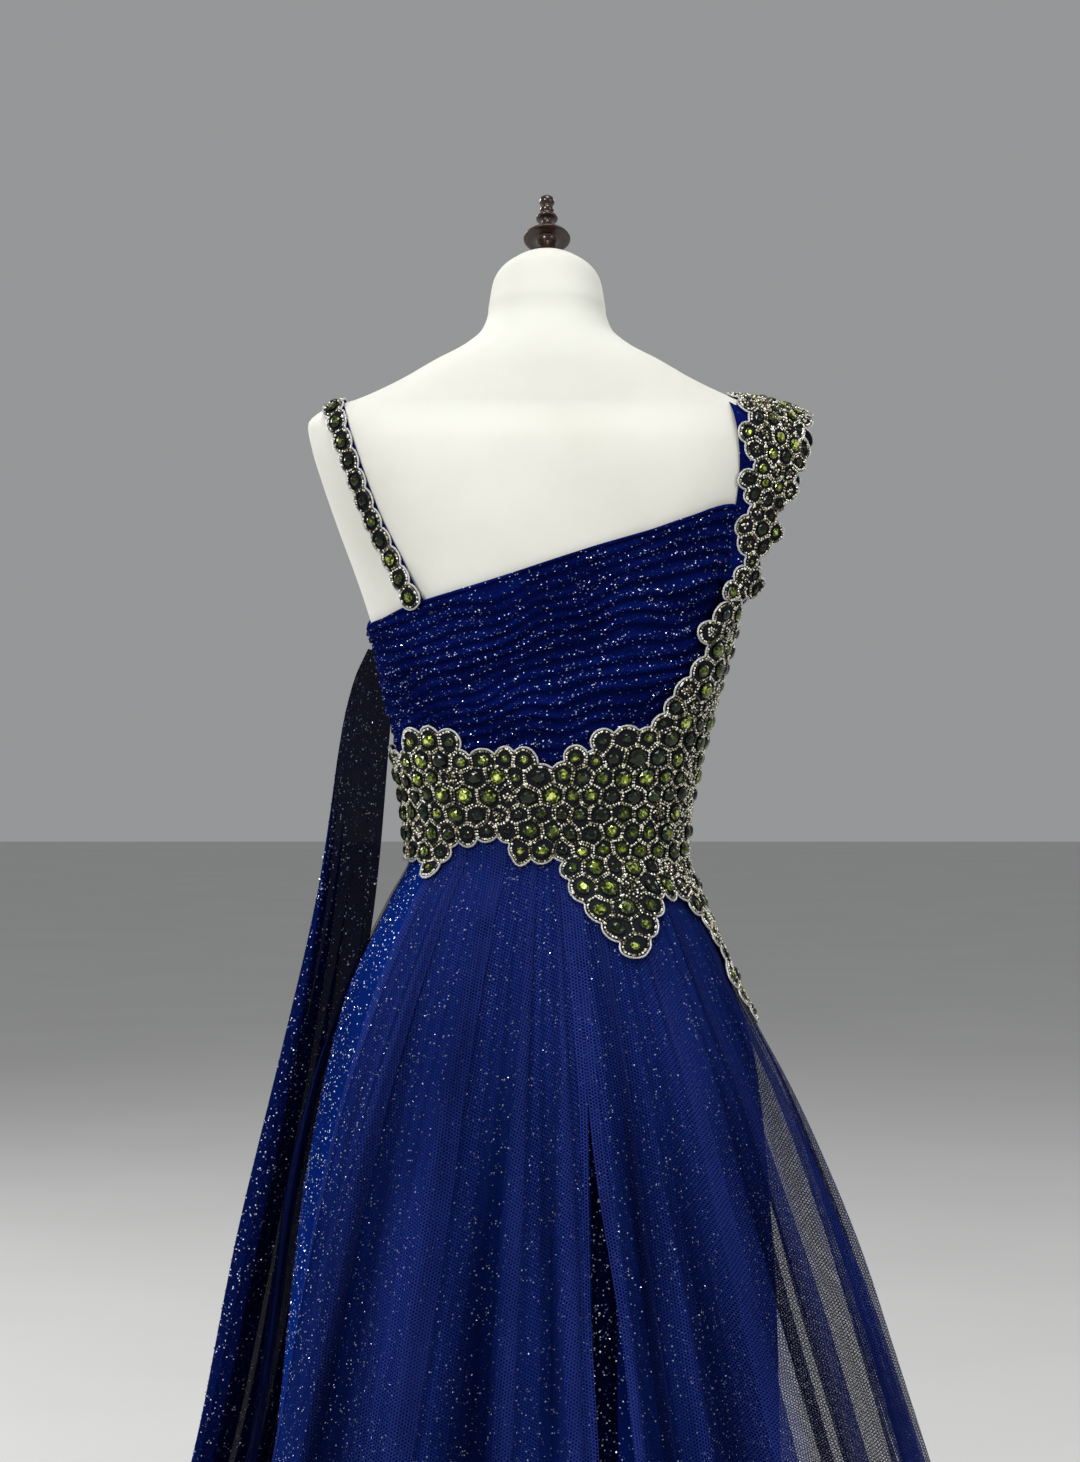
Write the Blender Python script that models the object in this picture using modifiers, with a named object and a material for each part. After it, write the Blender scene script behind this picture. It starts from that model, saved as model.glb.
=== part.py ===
"""An evening gown with one wide beaded shoulder, standing on a limbless dress form.

Metres, +Z up. The origin is the centre of the stand's underside, on the floor. The
gown faces +Y, so its back is at -Y and the wearer's right side is at +X. Angles go
round the body in degrees from the centre back: 90 is the wearer's right side, 180
the centre front, and -90 or 270 the wearer's left side.
"""

import math
from collections import namedtuple

import bmesh
import bpy
from mathutils import Matrix, Vector

# Heights of the gown's own lines
SEAM_LEFT_Z = 1.045
SEAM_RIGHT_Z = 1.085
SATIN_HEM_Z = 0.012
NET_HEM_Z = 0.018
DRAPE_HEM_Z = 0.020
DRAPE_TOP_Z = 1.205

# Thickness of each layer, and the air between them
BODICE_WALL = 0.0015
SATIN_WALL = 0.0015
NET_WALL = 0.0011
DRAPE_WALL = 0.0013
BEAD_BACKING = 0.0015
FORM_GAP = 0.0020
SEAM_GAP = 0.0003
BODICE_SEAM_RADIUS = 0.14
SKIRT_SEAM_RADIUS = 0.12
WAIST_GAP = 0.0009
BEAD_GAP = 0.0022

# The bodice's pleats, which are pressed flatter under the beadwork
PLEATS = 16
PLEAT_HEIGHT = 0.0018
PRESSED_SHARE = 0.45
PRESSED_BELOW_Z = 1.09
PRESSED_BLEND = 0.05

# The bodice stands further off the form where the waist and the front armhole curve in
Ease = namedtuple("Ease", "at spread amount")
WAIST_EASE = Ease(1.04, 0.05, 0.0014)
ARMHOLE_EASE = Ease(118.0, 12.0, 0.0010)

# Crystals sit in an uneven honeycomb of this pitch, and their points stand this high
CRYSTAL_PITCH = 0.0170
CRYSTAL_HEIGHT = 0.0040
ROW_PITCH = CRYSTAL_PITCH * math.sqrt(3) / 2
UNEVEN_SHARE = 0.07

# How square the oval sections are: 2 is an ellipse
SQUARENESS = 2.4
FORM_COLUMNS = 32
BODICE_COLUMNS = 16

# Heights of the form's rings: at the hips, and evenly from the waist to the chest
FORM_HIP_Z = (0.85, 0.91)
FORM_EVEN_Z = (0.96, 1.32)

Section = namedtuple("Section", "z right left back front")

FIGURE = [
    Section(0.790, 0.142, 0.142, 0.100, 0.096),
    Section(0.880, 0.152, 0.152, 0.110, 0.101),
    Section(0.950, 0.136, 0.136, 0.100, 0.096),
    Section(1.000, 0.116, 0.116, 0.086, 0.088),
    Section(1.040, 0.107, 0.107, 0.077, 0.083),
    Section(1.080, 0.110, 0.110, 0.079, 0.085),
    Section(1.120, 0.119, 0.119, 0.085, 0.090),
    Section(1.170, 0.130, 0.130, 0.093, 0.098),
    Section(1.220, 0.142, 0.142, 0.099, 0.103),
    Section(1.260, 0.155, 0.155, 0.102, 0.102),
    Section(1.300, 0.170, 0.170, 0.103, 0.096),
    Section(1.340, 0.184, 0.184, 0.100, 0.083),
    Section(1.370, 0.193, 0.193, 0.094, 0.068),
    Section(1.387, 0.196, 0.196, 0.086, 0.058),
    Section(1.398, 0.186, 0.186, 0.080, 0.052),
    Section(1.408, 0.156, 0.156, 0.076, 0.048),
    Section(1.424, 0.121, 0.121, 0.071, 0.045),
    Section(1.440, 0.093, 0.093, 0.067, 0.044),
    Section(1.453, 0.068, 0.068, 0.062, 0.044),
    Section(1.466, 0.053, 0.053, 0.057, 0.046),
    Section(1.481, 0.048, 0.048, 0.053, 0.047),
    Section(1.505, 0.047, 0.047, 0.052, 0.047),
]

# Outer face of the satin skirt: close to the knee, then flared to the hem
SATIN = [
    Section(0.012, 0.372, 0.376, 0.390, 0.345),
    Section(0.120, 0.322, 0.336, 0.330, 0.295),
    Section(0.270, 0.252, 0.285, 0.250, 0.226),
    Section(0.420, 0.207, 0.244, 0.195, 0.176),
    Section(0.540, 0.193, 0.226, 0.174, 0.156),
    Section(0.680, 0.188, 0.210, 0.162, 0.143),
    Section(0.760, 0.182, 0.200, 0.154, 0.136),
    Section(0.835, 0.175, 0.186, 0.146, 0.129),
    Section(0.880, 0.168, 0.176, 0.138, 0.123),
    Section(0.930, 0.151, 0.161, 0.125, 0.114),
    Section(0.965, 0.136, 0.145, 0.112, 0.105),
    Section(1.000, 0.121, 0.128, 0.098, 0.097),
    Section(1.040, 0.1105, 0.1105, 0.0805, 0.0865),
    Section(1.080, 0.1135, 0.1135, 0.0825, 0.0885),
    Section(1.120, 0.1225, 0.1225, 0.0885, 0.0935),
    Section(1.170, 0.1335, 0.1335, 0.0965, 0.1015),
]

# Outer face of the net, before its folds. Above the seam it is the bed of the beadwork
NET = [
    Section(0.018, 0.440, 0.405, 0.455, 0.410),
    Section(0.150, 0.400, 0.358, 0.405, 0.362),
    Section(0.300, 0.358, 0.303, 0.347, 0.307),
    Section(0.450, 0.315, 0.258, 0.292, 0.256),
    Section(0.540, 0.289, 0.239, 0.258, 0.226),
    Section(0.640, 0.260, 0.224, 0.222, 0.195),
    Section(0.760, 0.224, 0.208, 0.183, 0.163),
    Section(0.850, 0.193, 0.190, 0.158, 0.142),
    Section(0.890, 0.174, 0.178, 0.144, 0.131),
    Section(0.930, 0.154, 0.165, 0.129, 0.119),
    Section(0.965, 0.139, 0.149, 0.115, 0.109),
    Section(1.000, 0.124, 0.131, 0.101, 0.100),
    Section(1.040, 0.112, 0.112, 0.082, 0.088),
    Section(1.080, 0.115, 0.115, 0.084, 0.090),
    Section(1.120, 0.124, 0.124, 0.090, 0.095),
    Section(1.170, 0.137, 0.135, 0.098, 0.103),
    Section(1.220, 0.151, 0.147, 0.104, 0.108),
    Section(1.250, 0.160, 0.157, 0.107, 0.108),
]

# The loose panel at the wearer's left hangs outside the net, in folds that open from
# its top. The angles are where its edges lie
DRAPE_TOP_ANGLES = (-93.0, -124.0)
DRAPE_HEM_ANGLES = (-91.0, -131.0)
DRAPE_FOLDS = 5
DRAPE_FOLD_DEPTH = 0.020
DRAPE_EASE = 0.5
DRAPE_SHARES = (0, 0.02, 0.055, 0.12, 0.23, 0.38, 0.56, 0.78, 1.0)
DRAPE = [
    Section(0.020, 0.455, 0.455, 0.470, 0.470),
    Section(0.300, 0.352, 0.352, 0.350, 0.350),
    Section(0.540, 0.283, 0.283, 0.262, 0.262),
    Section(0.720, 0.247, 0.247, 0.205, 0.205),
    Section(0.870, 0.214, 0.214, 0.165, 0.165),
    Section(1.000, 0.188, 0.188, 0.140, 0.140),
    Section(1.140, 0.168, 0.168, 0.128, 0.128),
    Section(1.180, 0.158, 0.158, 0.126, 0.126),
    Section(1.205, 0.1466, 0.1466, 0.1156, 0.1156),
]

# Folds of the net: where each ridge runs, its half width, how far it stands out at
# the hem, and the height at which it begins
Fold = namedtuple("Fold", "angle half_width depth top")

NET_FOLDS = [
    Fold(-49.0, 9.0, 0.022, 1.00),
    Fold(-26.0, 14.0, 0.036, 1.00),
    Fold(-5.5, 6.5, 0.024, 0.99),
    Fold(5.0, 4.0, 0.020, 0.95),
    Fold(14.0, 5.0, 0.026, 0.95),
    Fold(25.0, 6.0, 0.022, 0.94),
    Fold(40.0, 9.0, 0.040, 0.94),
    Fold(56.0, 7.0, 0.024, 0.90),
    Fold(72.0, 9.0, 0.034, 0.86),
    Fold(91.0, 10.0, 0.030, 0.86),
    Fold(109.0, 8.0, 0.026, 0.90),
    Fold(128.0, 11.0, 0.036, 0.99),
    Fold(147.0, 8.0, 0.024, 0.99),
    Fold(166.0, 11.0, 0.034, 1.00),
    Fold(186.0, 9.0, 0.026, 1.00),
    Fold(204.0, 9.0, 0.032, 1.00),
    Fold(224.0, 11.0, 0.028, 1.00),
    Fold(243.0, 8.0, 0.020, 1.00),
    Fold(258.0, 7.0, 0.012, 0.98),
]

# Columns of a net panel: shares of a fold's half width, for broad and for narrow folds
NARROW_FOLD = 7.5
BROAD_COLUMNS = (-1.0, -0.5, 0.0, 0.5)
NARROW_COLUMNS = (-1.0, 0.0)
EDGE_CLEAR = 1.5
COLUMN_CLEAR = 1.2

# Panels of the net and the satin, each from one seam to the next
Panel = namedtuple("Panel", "name start end")

NET_PANELS = [
    Panel("net_overskirt_back", -58.0, 31.0),
    Panel("net_overskirt_right", 31.0, 117.0),
    Panel("net_overskirt_front", 117.0, 195.0),
    Panel("net_overskirt_left", 195.0, 265.0),
]
# Both layers of the skirt have their rings at these shares of the drop, closest where
# the waist curves in, so that one layer never passes through the other
SKIRT_SHARES = (0, 0.018, 0.038, 0.059, 0.084, 0.12, 0.185, 0.29, 0.44, 0.68, 1.0)

# The satin's shallow flutes, its back seam, and the slit that the seam opens into
SATIN_FOLDS = 9
SATIN_FOLD_DEPTH = 0.011
SATIN_FOLD_TOP_Z = 0.95
SATIN_SEAM_ANGLE = 12.5
SLIT_EDGE_ANGLE = 19.0
SLIT_SHARE = 0.20

# The strip behind the slit, and how deep it lies at its top and at the hem
INSERT_TOP_Z = 0.853
INSERT_HEM_Z = 0.0165
INSERT_REACH = 3.0
INSERT_DEPTH = (0.0022, 0.0085)
INSERT_SHARES = (0, 0.08, 0.2, 0.36, 0.55, 0.78, 1.0)

# Edges of the beaded waist, a row for each point of its outline round the body
BeltEdge = namedtuple("BeltEdge", "angle top bottom")

BELT = [
    BeltEdge(-90, 1.122, 1.036),
    BeltEdge(-70, 1.120, 1.034),
    BeltEdge(-56, 1.138, 1.012),
    BeltEdge(-44, 1.130, 1.046),
    BeltEdge(-32, 1.120, 1.056),
    BeltEdge(-16, 1.124, 1.026),
    BeltEdge(-6, 1.116, 1.036),
    BeltEdge(5, 1.112, 1.040),
    BeltEdge(14, 1.120, 1.008),
    BeltEdge(22, 1.138, 0.972),
    BeltEdge(30, 1.130, 0.962),
    BeltEdge(39, 1.136, 0.984),
    BeltEdge(48, 1.156, 1.006),
    BeltEdge(57, 1.186, 1.010),
    BeltEdge(64, 1.222, 0.998),
    BeltEdge(69, 1.240, 0.978),
    BeltEdge(77, 1.238, 0.930),
    BeltEdge(85, 1.228, 0.900),
    BeltEdge(95, 1.228, 0.898),
    BeltEdge(103, 1.238, 0.940),
    BeltEdge(111, 1.240, 0.982),
    BeltEdge(117, 1.222, 1.002),
    BeltEdge(126, 1.184, 1.014),
    BeltEdge(140, 1.140, 1.010),
    BeltEdge(155, 1.124, 0.984),
    BeltEdge(168, 1.132, 0.996),
    BeltEdge(182, 1.116, 1.032),
    BeltEdge(200, 1.124, 1.034),
    BeltEdge(216, 1.114, 1.020),
    BeltEdge(232, 1.126, 1.038),
    BeltEdge(250, 1.118, 1.030),
    BeltEdge(270, 1.122, 1.036),
]
BELT_PANELS = [
    Panel("beaded_waist_back", -90, 58),
    Panel("beaded_side", 58, 118),
    Panel("beaded_waist_front", 118, 270),
]
BELT_LOW_Z = 0.880
BELT_ROWS = 28
BELT_RULE_Z = 1.10
BELT_STEPS = 720

# Half of the wide strap, from the underarm to the top of the shoulder. Its inner edge
# lies on the form, and its outer edge stands clear of the shoulder as a cap
StrapRow = namedtuple("StrapRow", "inner_x inner_z outer_x outer_y outer_z")

WIDE_STRAP = [
    StrapRow(0.1330, 1.247, 0.1600, 0.028, 1.248),
    StrapRow(0.1440, 1.272, 0.1700, 0.036, 1.272),
    StrapRow(0.1520, 1.305, 0.1830, 0.039, 1.300),
    StrapRow(0.1570, 1.340, 0.1970, 0.036, 1.332),
    StrapRow(0.1560, 1.372, 0.2090, 0.030, 1.360),
    StrapRow(0.1510, 1.396, 0.2140, 0.018, 1.382),
    StrapRow(0.1480, 1.4105, 0.2150, 0.000, 1.394),
]
STRAP_STEPS = 240
STRAP_MARGIN = 0.30 * CRYSTAL_PITCH
STRAP_LIFT = 0.0022
STRAP_END_LIFT = 0.0064
STRAP_END_REACH = 0.085
STRAP_CROWN = 0.0030

# Centreline of the narrow strap on the form: x at each height, the same back and front
StrapLine = namedtuple("StrapLine", "z x")

NARROW_STRAP = [
    StrapLine(1.238, -0.101),
    StrapLine(1.266, -0.118),
    StrapLine(1.307, -0.139),
    StrapLine(1.357, -0.158),
    StrapLine(1.398, -0.172),
]
NARROW_CELL = 0.0165
NARROW_WAIST = 0.0056
NARROW_BELLY = 0.0092
NARROW_STEPS = 40
NARROW_SHOULDER_Z = 1.4025
NARROW_LEVEL_Z = 1.3995
NARROW_LIFT = 0.0012
NARROW_END_LIFT = 0.0074
NARROW_END_REACH = 0.050
NARROW_FRONT_Z = 1.254

# Top edge of the bodice, all round
TopEdge = namedtuple("TopEdge", "angle z")

BODICE_TOP = [
    TopEdge(-90, 1.222),
    TopEdge(-68, 1.228),
    TopEdge(-54, 1.238),
    TopEdge(-10, 1.265),
    TopEdge(20, 1.283),
    TopEdge(40, 1.296),
    TopEdge(52, 1.307),
    TopEdge(66, 1.319),
    TopEdge(74, 1.292),
    TopEdge(90, 1.238),
    TopEdge(104, 1.258),
    TopEdge(118, 1.292),
    TopEdge(132, 1.322),
    TopEdge(152, 1.316),
    TopEdge(180, 1.288),
    TopEdge(206, 1.278),
    TopEdge(231, 1.262),
    TopEdge(250, 1.236),
    TopEdge(270, 1.222),
]

# The two bust cups swell the front. The form fills them only in part
CUP_ANGLES = (148.0, 212.0)
CUP_SPREAD = 29.0
CUP_Z = 1.238
CUP_HEIGHT = 0.052
CUP_DEPTH = 0.020
FORM_CUP_SHARE = 0.70

# The form's rounded underside and its slanted neck: how far each ring lies from the
# body's end, its size, and its share of the neck's slant
FormRing = namedtuple("FormRing", "rise size slant")

UNDERSIDE = [
    FormRing(-0.020, 0.90, 0.0),
    FormRing(-0.012, 0.975, 0.0),
]
NECK_HALF = 0.048
NECK_LOW_Z = 1.482
NECK_SLANT = 0.027
NECK = [
    FormRing(0.0, 1.0, 0.35),
    FormRing(0.021, 0.93, 0.92),
    FormRing(0.029, 0.84, 1.0),
    FormRing(0.033, 0.68, 1.0),
    FormRing(0.0365, 0.36, 1.0),
]

# Turned pieces, each from its top down. The finial stands on the slanted neck
Turn = namedtuple("Turn", "radius height")

FINIAL = [
    Turn(0.0, 0.0705),
    Turn(0.0026, 0.0695),
    Turn(0.0030, 0.0670),
    Turn(0.0022, 0.0655),
    Turn(0.0050, 0.0635),
    Turn(0.0050, 0.0600),
    Turn(0.0088, 0.0575),
    Turn(0.0088, 0.0558),
    Turn(0.0046, 0.0530),
    Turn(0.0105, 0.0480),
    Turn(0.0170, 0.0430),
    Turn(0.0205, 0.0350),
    Turn(0.0205, 0.0305),
    Turn(0.0080, 0.0265),
    Turn(0.0065, 0.0130),
    Turn(0.0150, 0.0060),
    Turn(0.0150, 0.0),
    Turn(0.0, 0.0),
]
BASE_TOP_Z = 0.022
POLE_TOP_Z = FIGURE[0].z + UNDERSIDE[0].rise - SEAM_GAP
POLE = [
    Turn(0.0, POLE_TOP_Z),
    Turn(0.045, POLE_TOP_Z),
    Turn(0.045, POLE_TOP_Z - 0.010),
    Turn(0.016, POLE_TOP_Z - 0.030),
    Turn(0.016, BASE_TOP_Z + 0.075),
    Turn(0.030, BASE_TOP_Z + 0.050),
    Turn(0.024, BASE_TOP_Z + 0.030),
    Turn(0.042, BASE_TOP_Z + SEAM_GAP),
    Turn(0.0, BASE_TOP_Z + SEAM_GAP),
]
BASE = [
    Turn(0.0, BASE_TOP_Z),
    Turn(0.060, BASE_TOP_Z),
    Turn(0.150, 0.016),
    Turn(0.175, 0.014),
    Turn(0.185, 0.008),
    Turn(0.185, 0.002),
    Turn(0.183, 0.0),
    Turn(0.0, 0.0),
]

COLOURS = {  # base colour, roughness, metallic
    "jersey": ((0.84, 0.85, 0.80), 0.75, 0.0),
    "dark_wood": ((0.035, 0.018, 0.012), 0.25, 0.0),
    "pleated_tulle": ((0.012, 0.020, 0.180), 0.60, 0.0),
    "satin": ((0.014, 0.040, 0.300), 0.45, 0.0),
    "net": ((0.016, 0.035, 0.230), 0.70, 0.0),
    "beadwork": ((0.160, 0.170, 0.080), 0.25, 0.6),
}


def clear_scene():
    for old in list(bpy.data.objects):
        bpy.data.objects.remove(old, do_unlink=True)


def material(name):
    colour, roughness, metallic = COLOURS[name]
    made = bpy.data.materials.get(name) or bpy.data.materials.new(name)
    made.use_nodes = True
    shader = made.node_tree.nodes["Principled BSDF"]
    shader.inputs["Base Color"].default_value = (*colour, 1.0)
    shader.inputs["Roughness"].default_value = roughness
    shader.inputs["Metallic"].default_value = metallic
    return made


def smooth(rows, key, column):
    """A function of the key column that runs smoothly through the rows without overshooting."""
    xs = [getattr(row, key) for row in rows]
    ys = [getattr(row, column) for row in rows]
    steps = [(ys[i + 1] - ys[i]) / (xs[i + 1] - xs[i]) for i in range(len(xs) - 1)]
    slopes = [steps[0]]
    for before, after in zip(steps, steps[1:]):
        same_way = before * after > 0
        slopes.append(2 * before * after / (before + after) if same_way else 0.0)
    slopes.append(steps[-1])

    def value(x):
        x = min(max(x, xs[0]), xs[-1])
        i = next((k for k in range(len(xs) - 1) if x <= xs[k + 1]), len(xs) - 2)
        span = xs[i + 1] - xs[i]
        t = (x - xs[i]) / span
        rise = ys[i] * (1 + 2 * t) * (1 - t) ** 2 + ys[i + 1] * t * t * (3 - 2 * t)
        return rise + span * (slopes[i] * t * (1 - t) ** 2 - slopes[i + 1] * t * t * (1 - t))

    return value


def bump(ease, value):
    """An ease's amount at this value: full at its middle, fading over its spread."""
    return ease.amount * math.exp(-(((value - ease.at) / ease.spread) ** 2))


def ease_in(value):
    """0 below 0, 1 above 1, and a soft step between."""
    value = min(max(value, 0.0), 1.0)
    return value * value * (3 - 2 * value)


def no_relief(angle, z):
    return 0.0


def cups(angle, z):
    """How far the bust stands out of the plain figure."""
    height = math.exp(-(((z - CUP_Z) / CUP_HEIGHT) ** 2))
    near = sum(math.exp(-(((angle % 360 - cup) / CUP_SPREAD) ** 2)) for cup in CUP_ANGLES)
    return CUP_DEPTH * height * near


def form_cups(angle, z):
    return FORM_CUP_SHARE * cups(angle, z)


def net_relief(angle, z):
    """The net's folds, and the bust above them."""
    out = cups(angle, z)
    turn = angle if angle > -60 else angle + 360
    for fold in NET_FOLDS:
        away = abs(turn - fold.angle) / fold.half_width
        if away < 1 and z < fold.top:
            fall = (fold.top - z) / (fold.top - NET_HEM_Z)
            out += fold.depth * fall * math.cos(away * math.pi / 2) ** 2
    return out


def satin_relief(angle, z):
    """Shallow flutes that open towards the hem."""
    fall = ease_in((SATIN_FOLD_TOP_Z - z) / SATIN_FOLD_TOP_Z)
    return SATIN_FOLD_DEPTH * fall * (math.cos(math.radians(SATIN_FOLDS * angle)) - 1)


class Body:
    """A surface of oval sections round the upright axis, with its own relief."""

    def __init__(self, rows, relief):
        self.sides = {name: smooth(rows, "z", name) for name in Section._fields[1:]}
        self.relief = relief

    def radius(self, angle, z):
        turn = math.radians(angle)
        across, ahead = math.sin(turn), math.cos(turn)
        side = self.sides["right" if across > 0 else "left"](z)
        depth = self.sides["back" if ahead > 0 else "front"](z)
        oval = abs(across / side) ** SQUARENESS + abs(ahead / depth) ** SQUARENESS
        return oval ** (-1 / SQUARENESS) + self.relief(angle, z)

    def point(self, angle, z):
        turn = math.radians(angle)
        radius = self.radius(angle, z)
        return Vector((radius * math.sin(turn), -radius * math.cos(turn), z))

    def normal(self, angle, z):
        round_step, up_step = 1.0, 0.002
        around = self.point(angle + round_step, z) - self.point(angle - round_step, z)
        upward = self.point(angle, z + up_step) - self.point(angle, z - up_step)
        return around.cross(upward).normalized()

    def moved_out(self, angle, z, distance):
        return self.point(angle, z) + self.normal(angle, z) * distance

    def depth_at(self, x, z, side):
        """How far back or front the surface lies at x, side being -1 for the back."""
        half = self.sides["right" if x > 0 else "left"](z)
        depth = self.sides["back" if side < 0 else "front"](z)
        share = max(0.0, 1 - abs(x / half) ** SQUARENESS)
        return side * depth * share ** (1 / SQUARENESS)


FORM_BODY = Body(FIGURE, form_cups)
FIGURE_BODY = Body(FIGURE, cups)
PLAIN_FIGURE = Body(FIGURE, no_relief)
SATIN_BODY = Body(SATIN, satin_relief)
NET_BODY = Body(NET, net_relief)


def finish(name, mesh, material_name, collection):
    """An object of the mesh, with clean normals and smooth shading."""
    shape = bmesh.new()
    shape.from_mesh(mesh)
    bmesh.ops.recalc_face_normals(shape, faces=shape.faces)
    shape.to_mesh(mesh)
    shape.free()
    mesh.shade_smooth()
    mesh.set_sharp_from_angle(angle=math.radians(20))
    made = bpy.data.objects.new(name, mesh)
    made.data.materials.append(material(material_name))
    collection.objects.link(made)
    return made


def loft(name, rings, material_name, collection):
    """A closed solid through rings of points, lowest first, capped at both ends."""
    count = len(rings[0])
    faces = [tuple(reversed(range(count)))]
    for level in range(len(rings) - 1):
        for i in range(count):
            j = (i + 1) % count
            low, high = level * count, (level + 1) * count
            faces.append((low + i, low + j, high + j, high + i))
    faces.append(tuple(range((len(rings) - 1) * count, len(rings) * count)))
    mesh = bpy.data.meshes.new(name)
    mesh.from_pydata([point for ring in rings for point in ring], [], faces)
    return finish(name, mesh, material_name, collection)


def wall(name, outer, inner, material_name, collection):
    """A closed wall between two grids of points, each a list of rows. The inner grid may
    have only every second row of the outer one, where the outer one is pleated."""
    columns = len(outer[0])
    stride = (len(outer) - 1) // (len(inner) - 1)
    half = len(outer) * columns
    faces = []
    for first, rows, ahead in ((0, len(outer), 1), (half, len(inner), -1)):
        for r in range(rows - 1):
            for c in range(columns - 1):
                a, b = first + r * columns + c, first + (r + 1) * columns + c
                # the same diagonal on both faces keeps a bent wall even
                faces.append((a, a + 1, b + 1)[::ahead])
                faces.append((a, b + 1, b)[::ahead])
    for r in range(len(inner) - 1):
        for c, ahead in ((0, 1), (columns - 1, -1)):
            edge = [(r * stride + k) * columns + c for k in range(stride + 1)]
            rim = edge + [half + (r + 1) * columns + c, half + r * columns + c]
            faces.append(tuple(rim[::ahead]))
    for row, under, ahead in ((0, 0, -1), (len(outer) - 1, len(inner) - 1, 1)):
        for c in range(columns - 1):
            a, b = row * columns + c, half + under * columns + c
            faces.append((a, a + 1, b + 1, b)[::ahead])
    mesh = bpy.data.meshes.new(name)
    points = [point for grid in (outer, inner) for row in grid for point in row]
    mesh.from_pydata(points, [], faces)
    return finish(name, mesh, material_name, collection)


def spread(start, end, count):
    """Evenly spaced values from start to end, count intervals."""
    return [start + (end - start) * i / count for i in range(count + 1)]


def turned(name, profile, material_name, collection, steps=16):
    """A piece turned on a lathe: a profile of (radius, height) down its outer side."""
    mesh = bpy.data.meshes.new(name)
    points = [(radius, 0.0, height) for radius, height in profile]
    mesh.from_pydata(points, [(i, i + 1) for i in range(len(points) - 1)], [])
    made = bpy.data.objects.new(name, mesh)
    made.data.materials.append(material(material_name))
    collection.objects.link(made)
    screw = made.modifiers.new("turn", "SCREW")
    screw.steps = screw.render_steps = steps
    screw.use_merge_vertices = True
    screw.merge_threshold = 0.0001
    screw.use_smooth_shade = True
    return made


def build_form(collection):
    """The jersey torso, the turned finial on its slanted neck, and the stand."""
    angles = [360 * i / FORM_COLUMNS for i in range(FORM_COLUMNS)]
    foot = FIGURE[0].z
    rings = []
    for rise, size, _ in UNDERSIDE:
        ring = [PLAIN_FIGURE.point(angle, foot) for angle in angles]
        rings.append([Vector((point.x * size, point.y * size, foot + rise)) for point in ring])
    shoulders = [row.z for row in FIGURE if FORM_EVEN_Z[1] < row.z < NECK_LOW_Z - 0.001]
    for z in [foot, *FORM_HIP_Z, *spread(*FORM_EVEN_Z, 10), *shoulders]:
        rings.append([FORM_BODY.point(angle, z) for angle in angles])
    for rise, size, slant in NECK:
        ring = []
        for angle in angles:
            across, back = math.sin(math.radians(angle)), math.cos(math.radians(angle))
            z = NECK_LOW_Z + rise + NECK_SLANT * slant * size * back
            ring.append(Vector((NECK_HALF * size * across, -NECK_HALF * size * back, z)))
        rings.append(ring)
    loft("form_torso", rings, "jersey", collection)

    finial = turned("form_finial", FINIAL, "dark_wood", collection)
    lean = Matrix.Rotation(-math.atan2(NECK_SLANT, NECK_HALF), 4, "X")
    seat_z = NECK_LOW_Z + NECK[-1].rise + SEAM_GAP
    finial.matrix_world = Matrix.Translation((0, 0, seat_z)) @ lean
    turned("stand_pole", POLE, "dark_wood", collection)
    turned("stand_base", BASE, "dark_wood", collection, steps=24)


def seam_z(angle):
    """The waist seam slants from the left side up to the right, under the beadwork."""
    middle, rise = (SEAM_LEFT_Z + SEAM_RIGHT_Z) / 2, (SEAM_RIGHT_Z - SEAM_LEFT_Z) / 2
    return middle + rise * math.sin(math.radians(angle))


def gap_angle(radius):
    """The angle that a seam's gap takes up at this radius."""
    return math.degrees(SEAM_GAP / radius)


def build_bodice(collection):
    """Two panels of tulle in fine slanting pleats, joined at the sides and the waist seam."""
    top = smooth(BODICE_TOP, "angle", "z")
    gap = gap_angle(BODICE_SEAM_RADIUS)
    for name, start, end in (("bodice_back", -90, 90 - gap), ("bodice_front", 90, 270 - gap)):
        outer, inner = [], []
        for level in range(2 * PLEATS + 1):
            outer_row, inner_row = [], []
            for angle in spread(start, end, BODICE_COLUMNS):
                z = top(angle) + (seam_z(angle) - top(angle)) * level / (2 * PLEATS)
                ease = FORM_GAP + bump(WAIST_EASE, z) + bump(ARMHOLE_EASE, angle)
                loose = ease_in((z - PRESSED_BELOW_Z) / PRESSED_BLEND)
                pleat = PLEAT_HEIGHT * (PRESSED_SHARE + (1 - PRESSED_SHARE) * loose) * (level % 2)
                inner_row.append(FIGURE_BODY.moved_out(angle, z, ease))
                outer_row.append(FIGURE_BODY.moved_out(angle, z, ease + BODICE_WALL + pleat))
            outer.append(outer_row)
            inner.append(inner_row)
        wall(name, outer, inner[::2], "pleated_tulle", collection)


def thickened(grid, distance):
    """The grid moved along its own normals, each worked out from the point's neighbours."""
    moved = []
    for r, row in enumerate(grid):
        above, below = grid[max(r - 1, 0)], grid[min(r + 1, len(grid) - 1)]
        line = []
        for c, point in enumerate(row):
            around = row[min(c + 1, len(row) - 1)] - row[max(c - 1, 0)]
            normal = around.cross(above[c] - below[c]).normalized()
            line.append(point + normal * distance)
        moved.append(line)
    return moved


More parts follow.
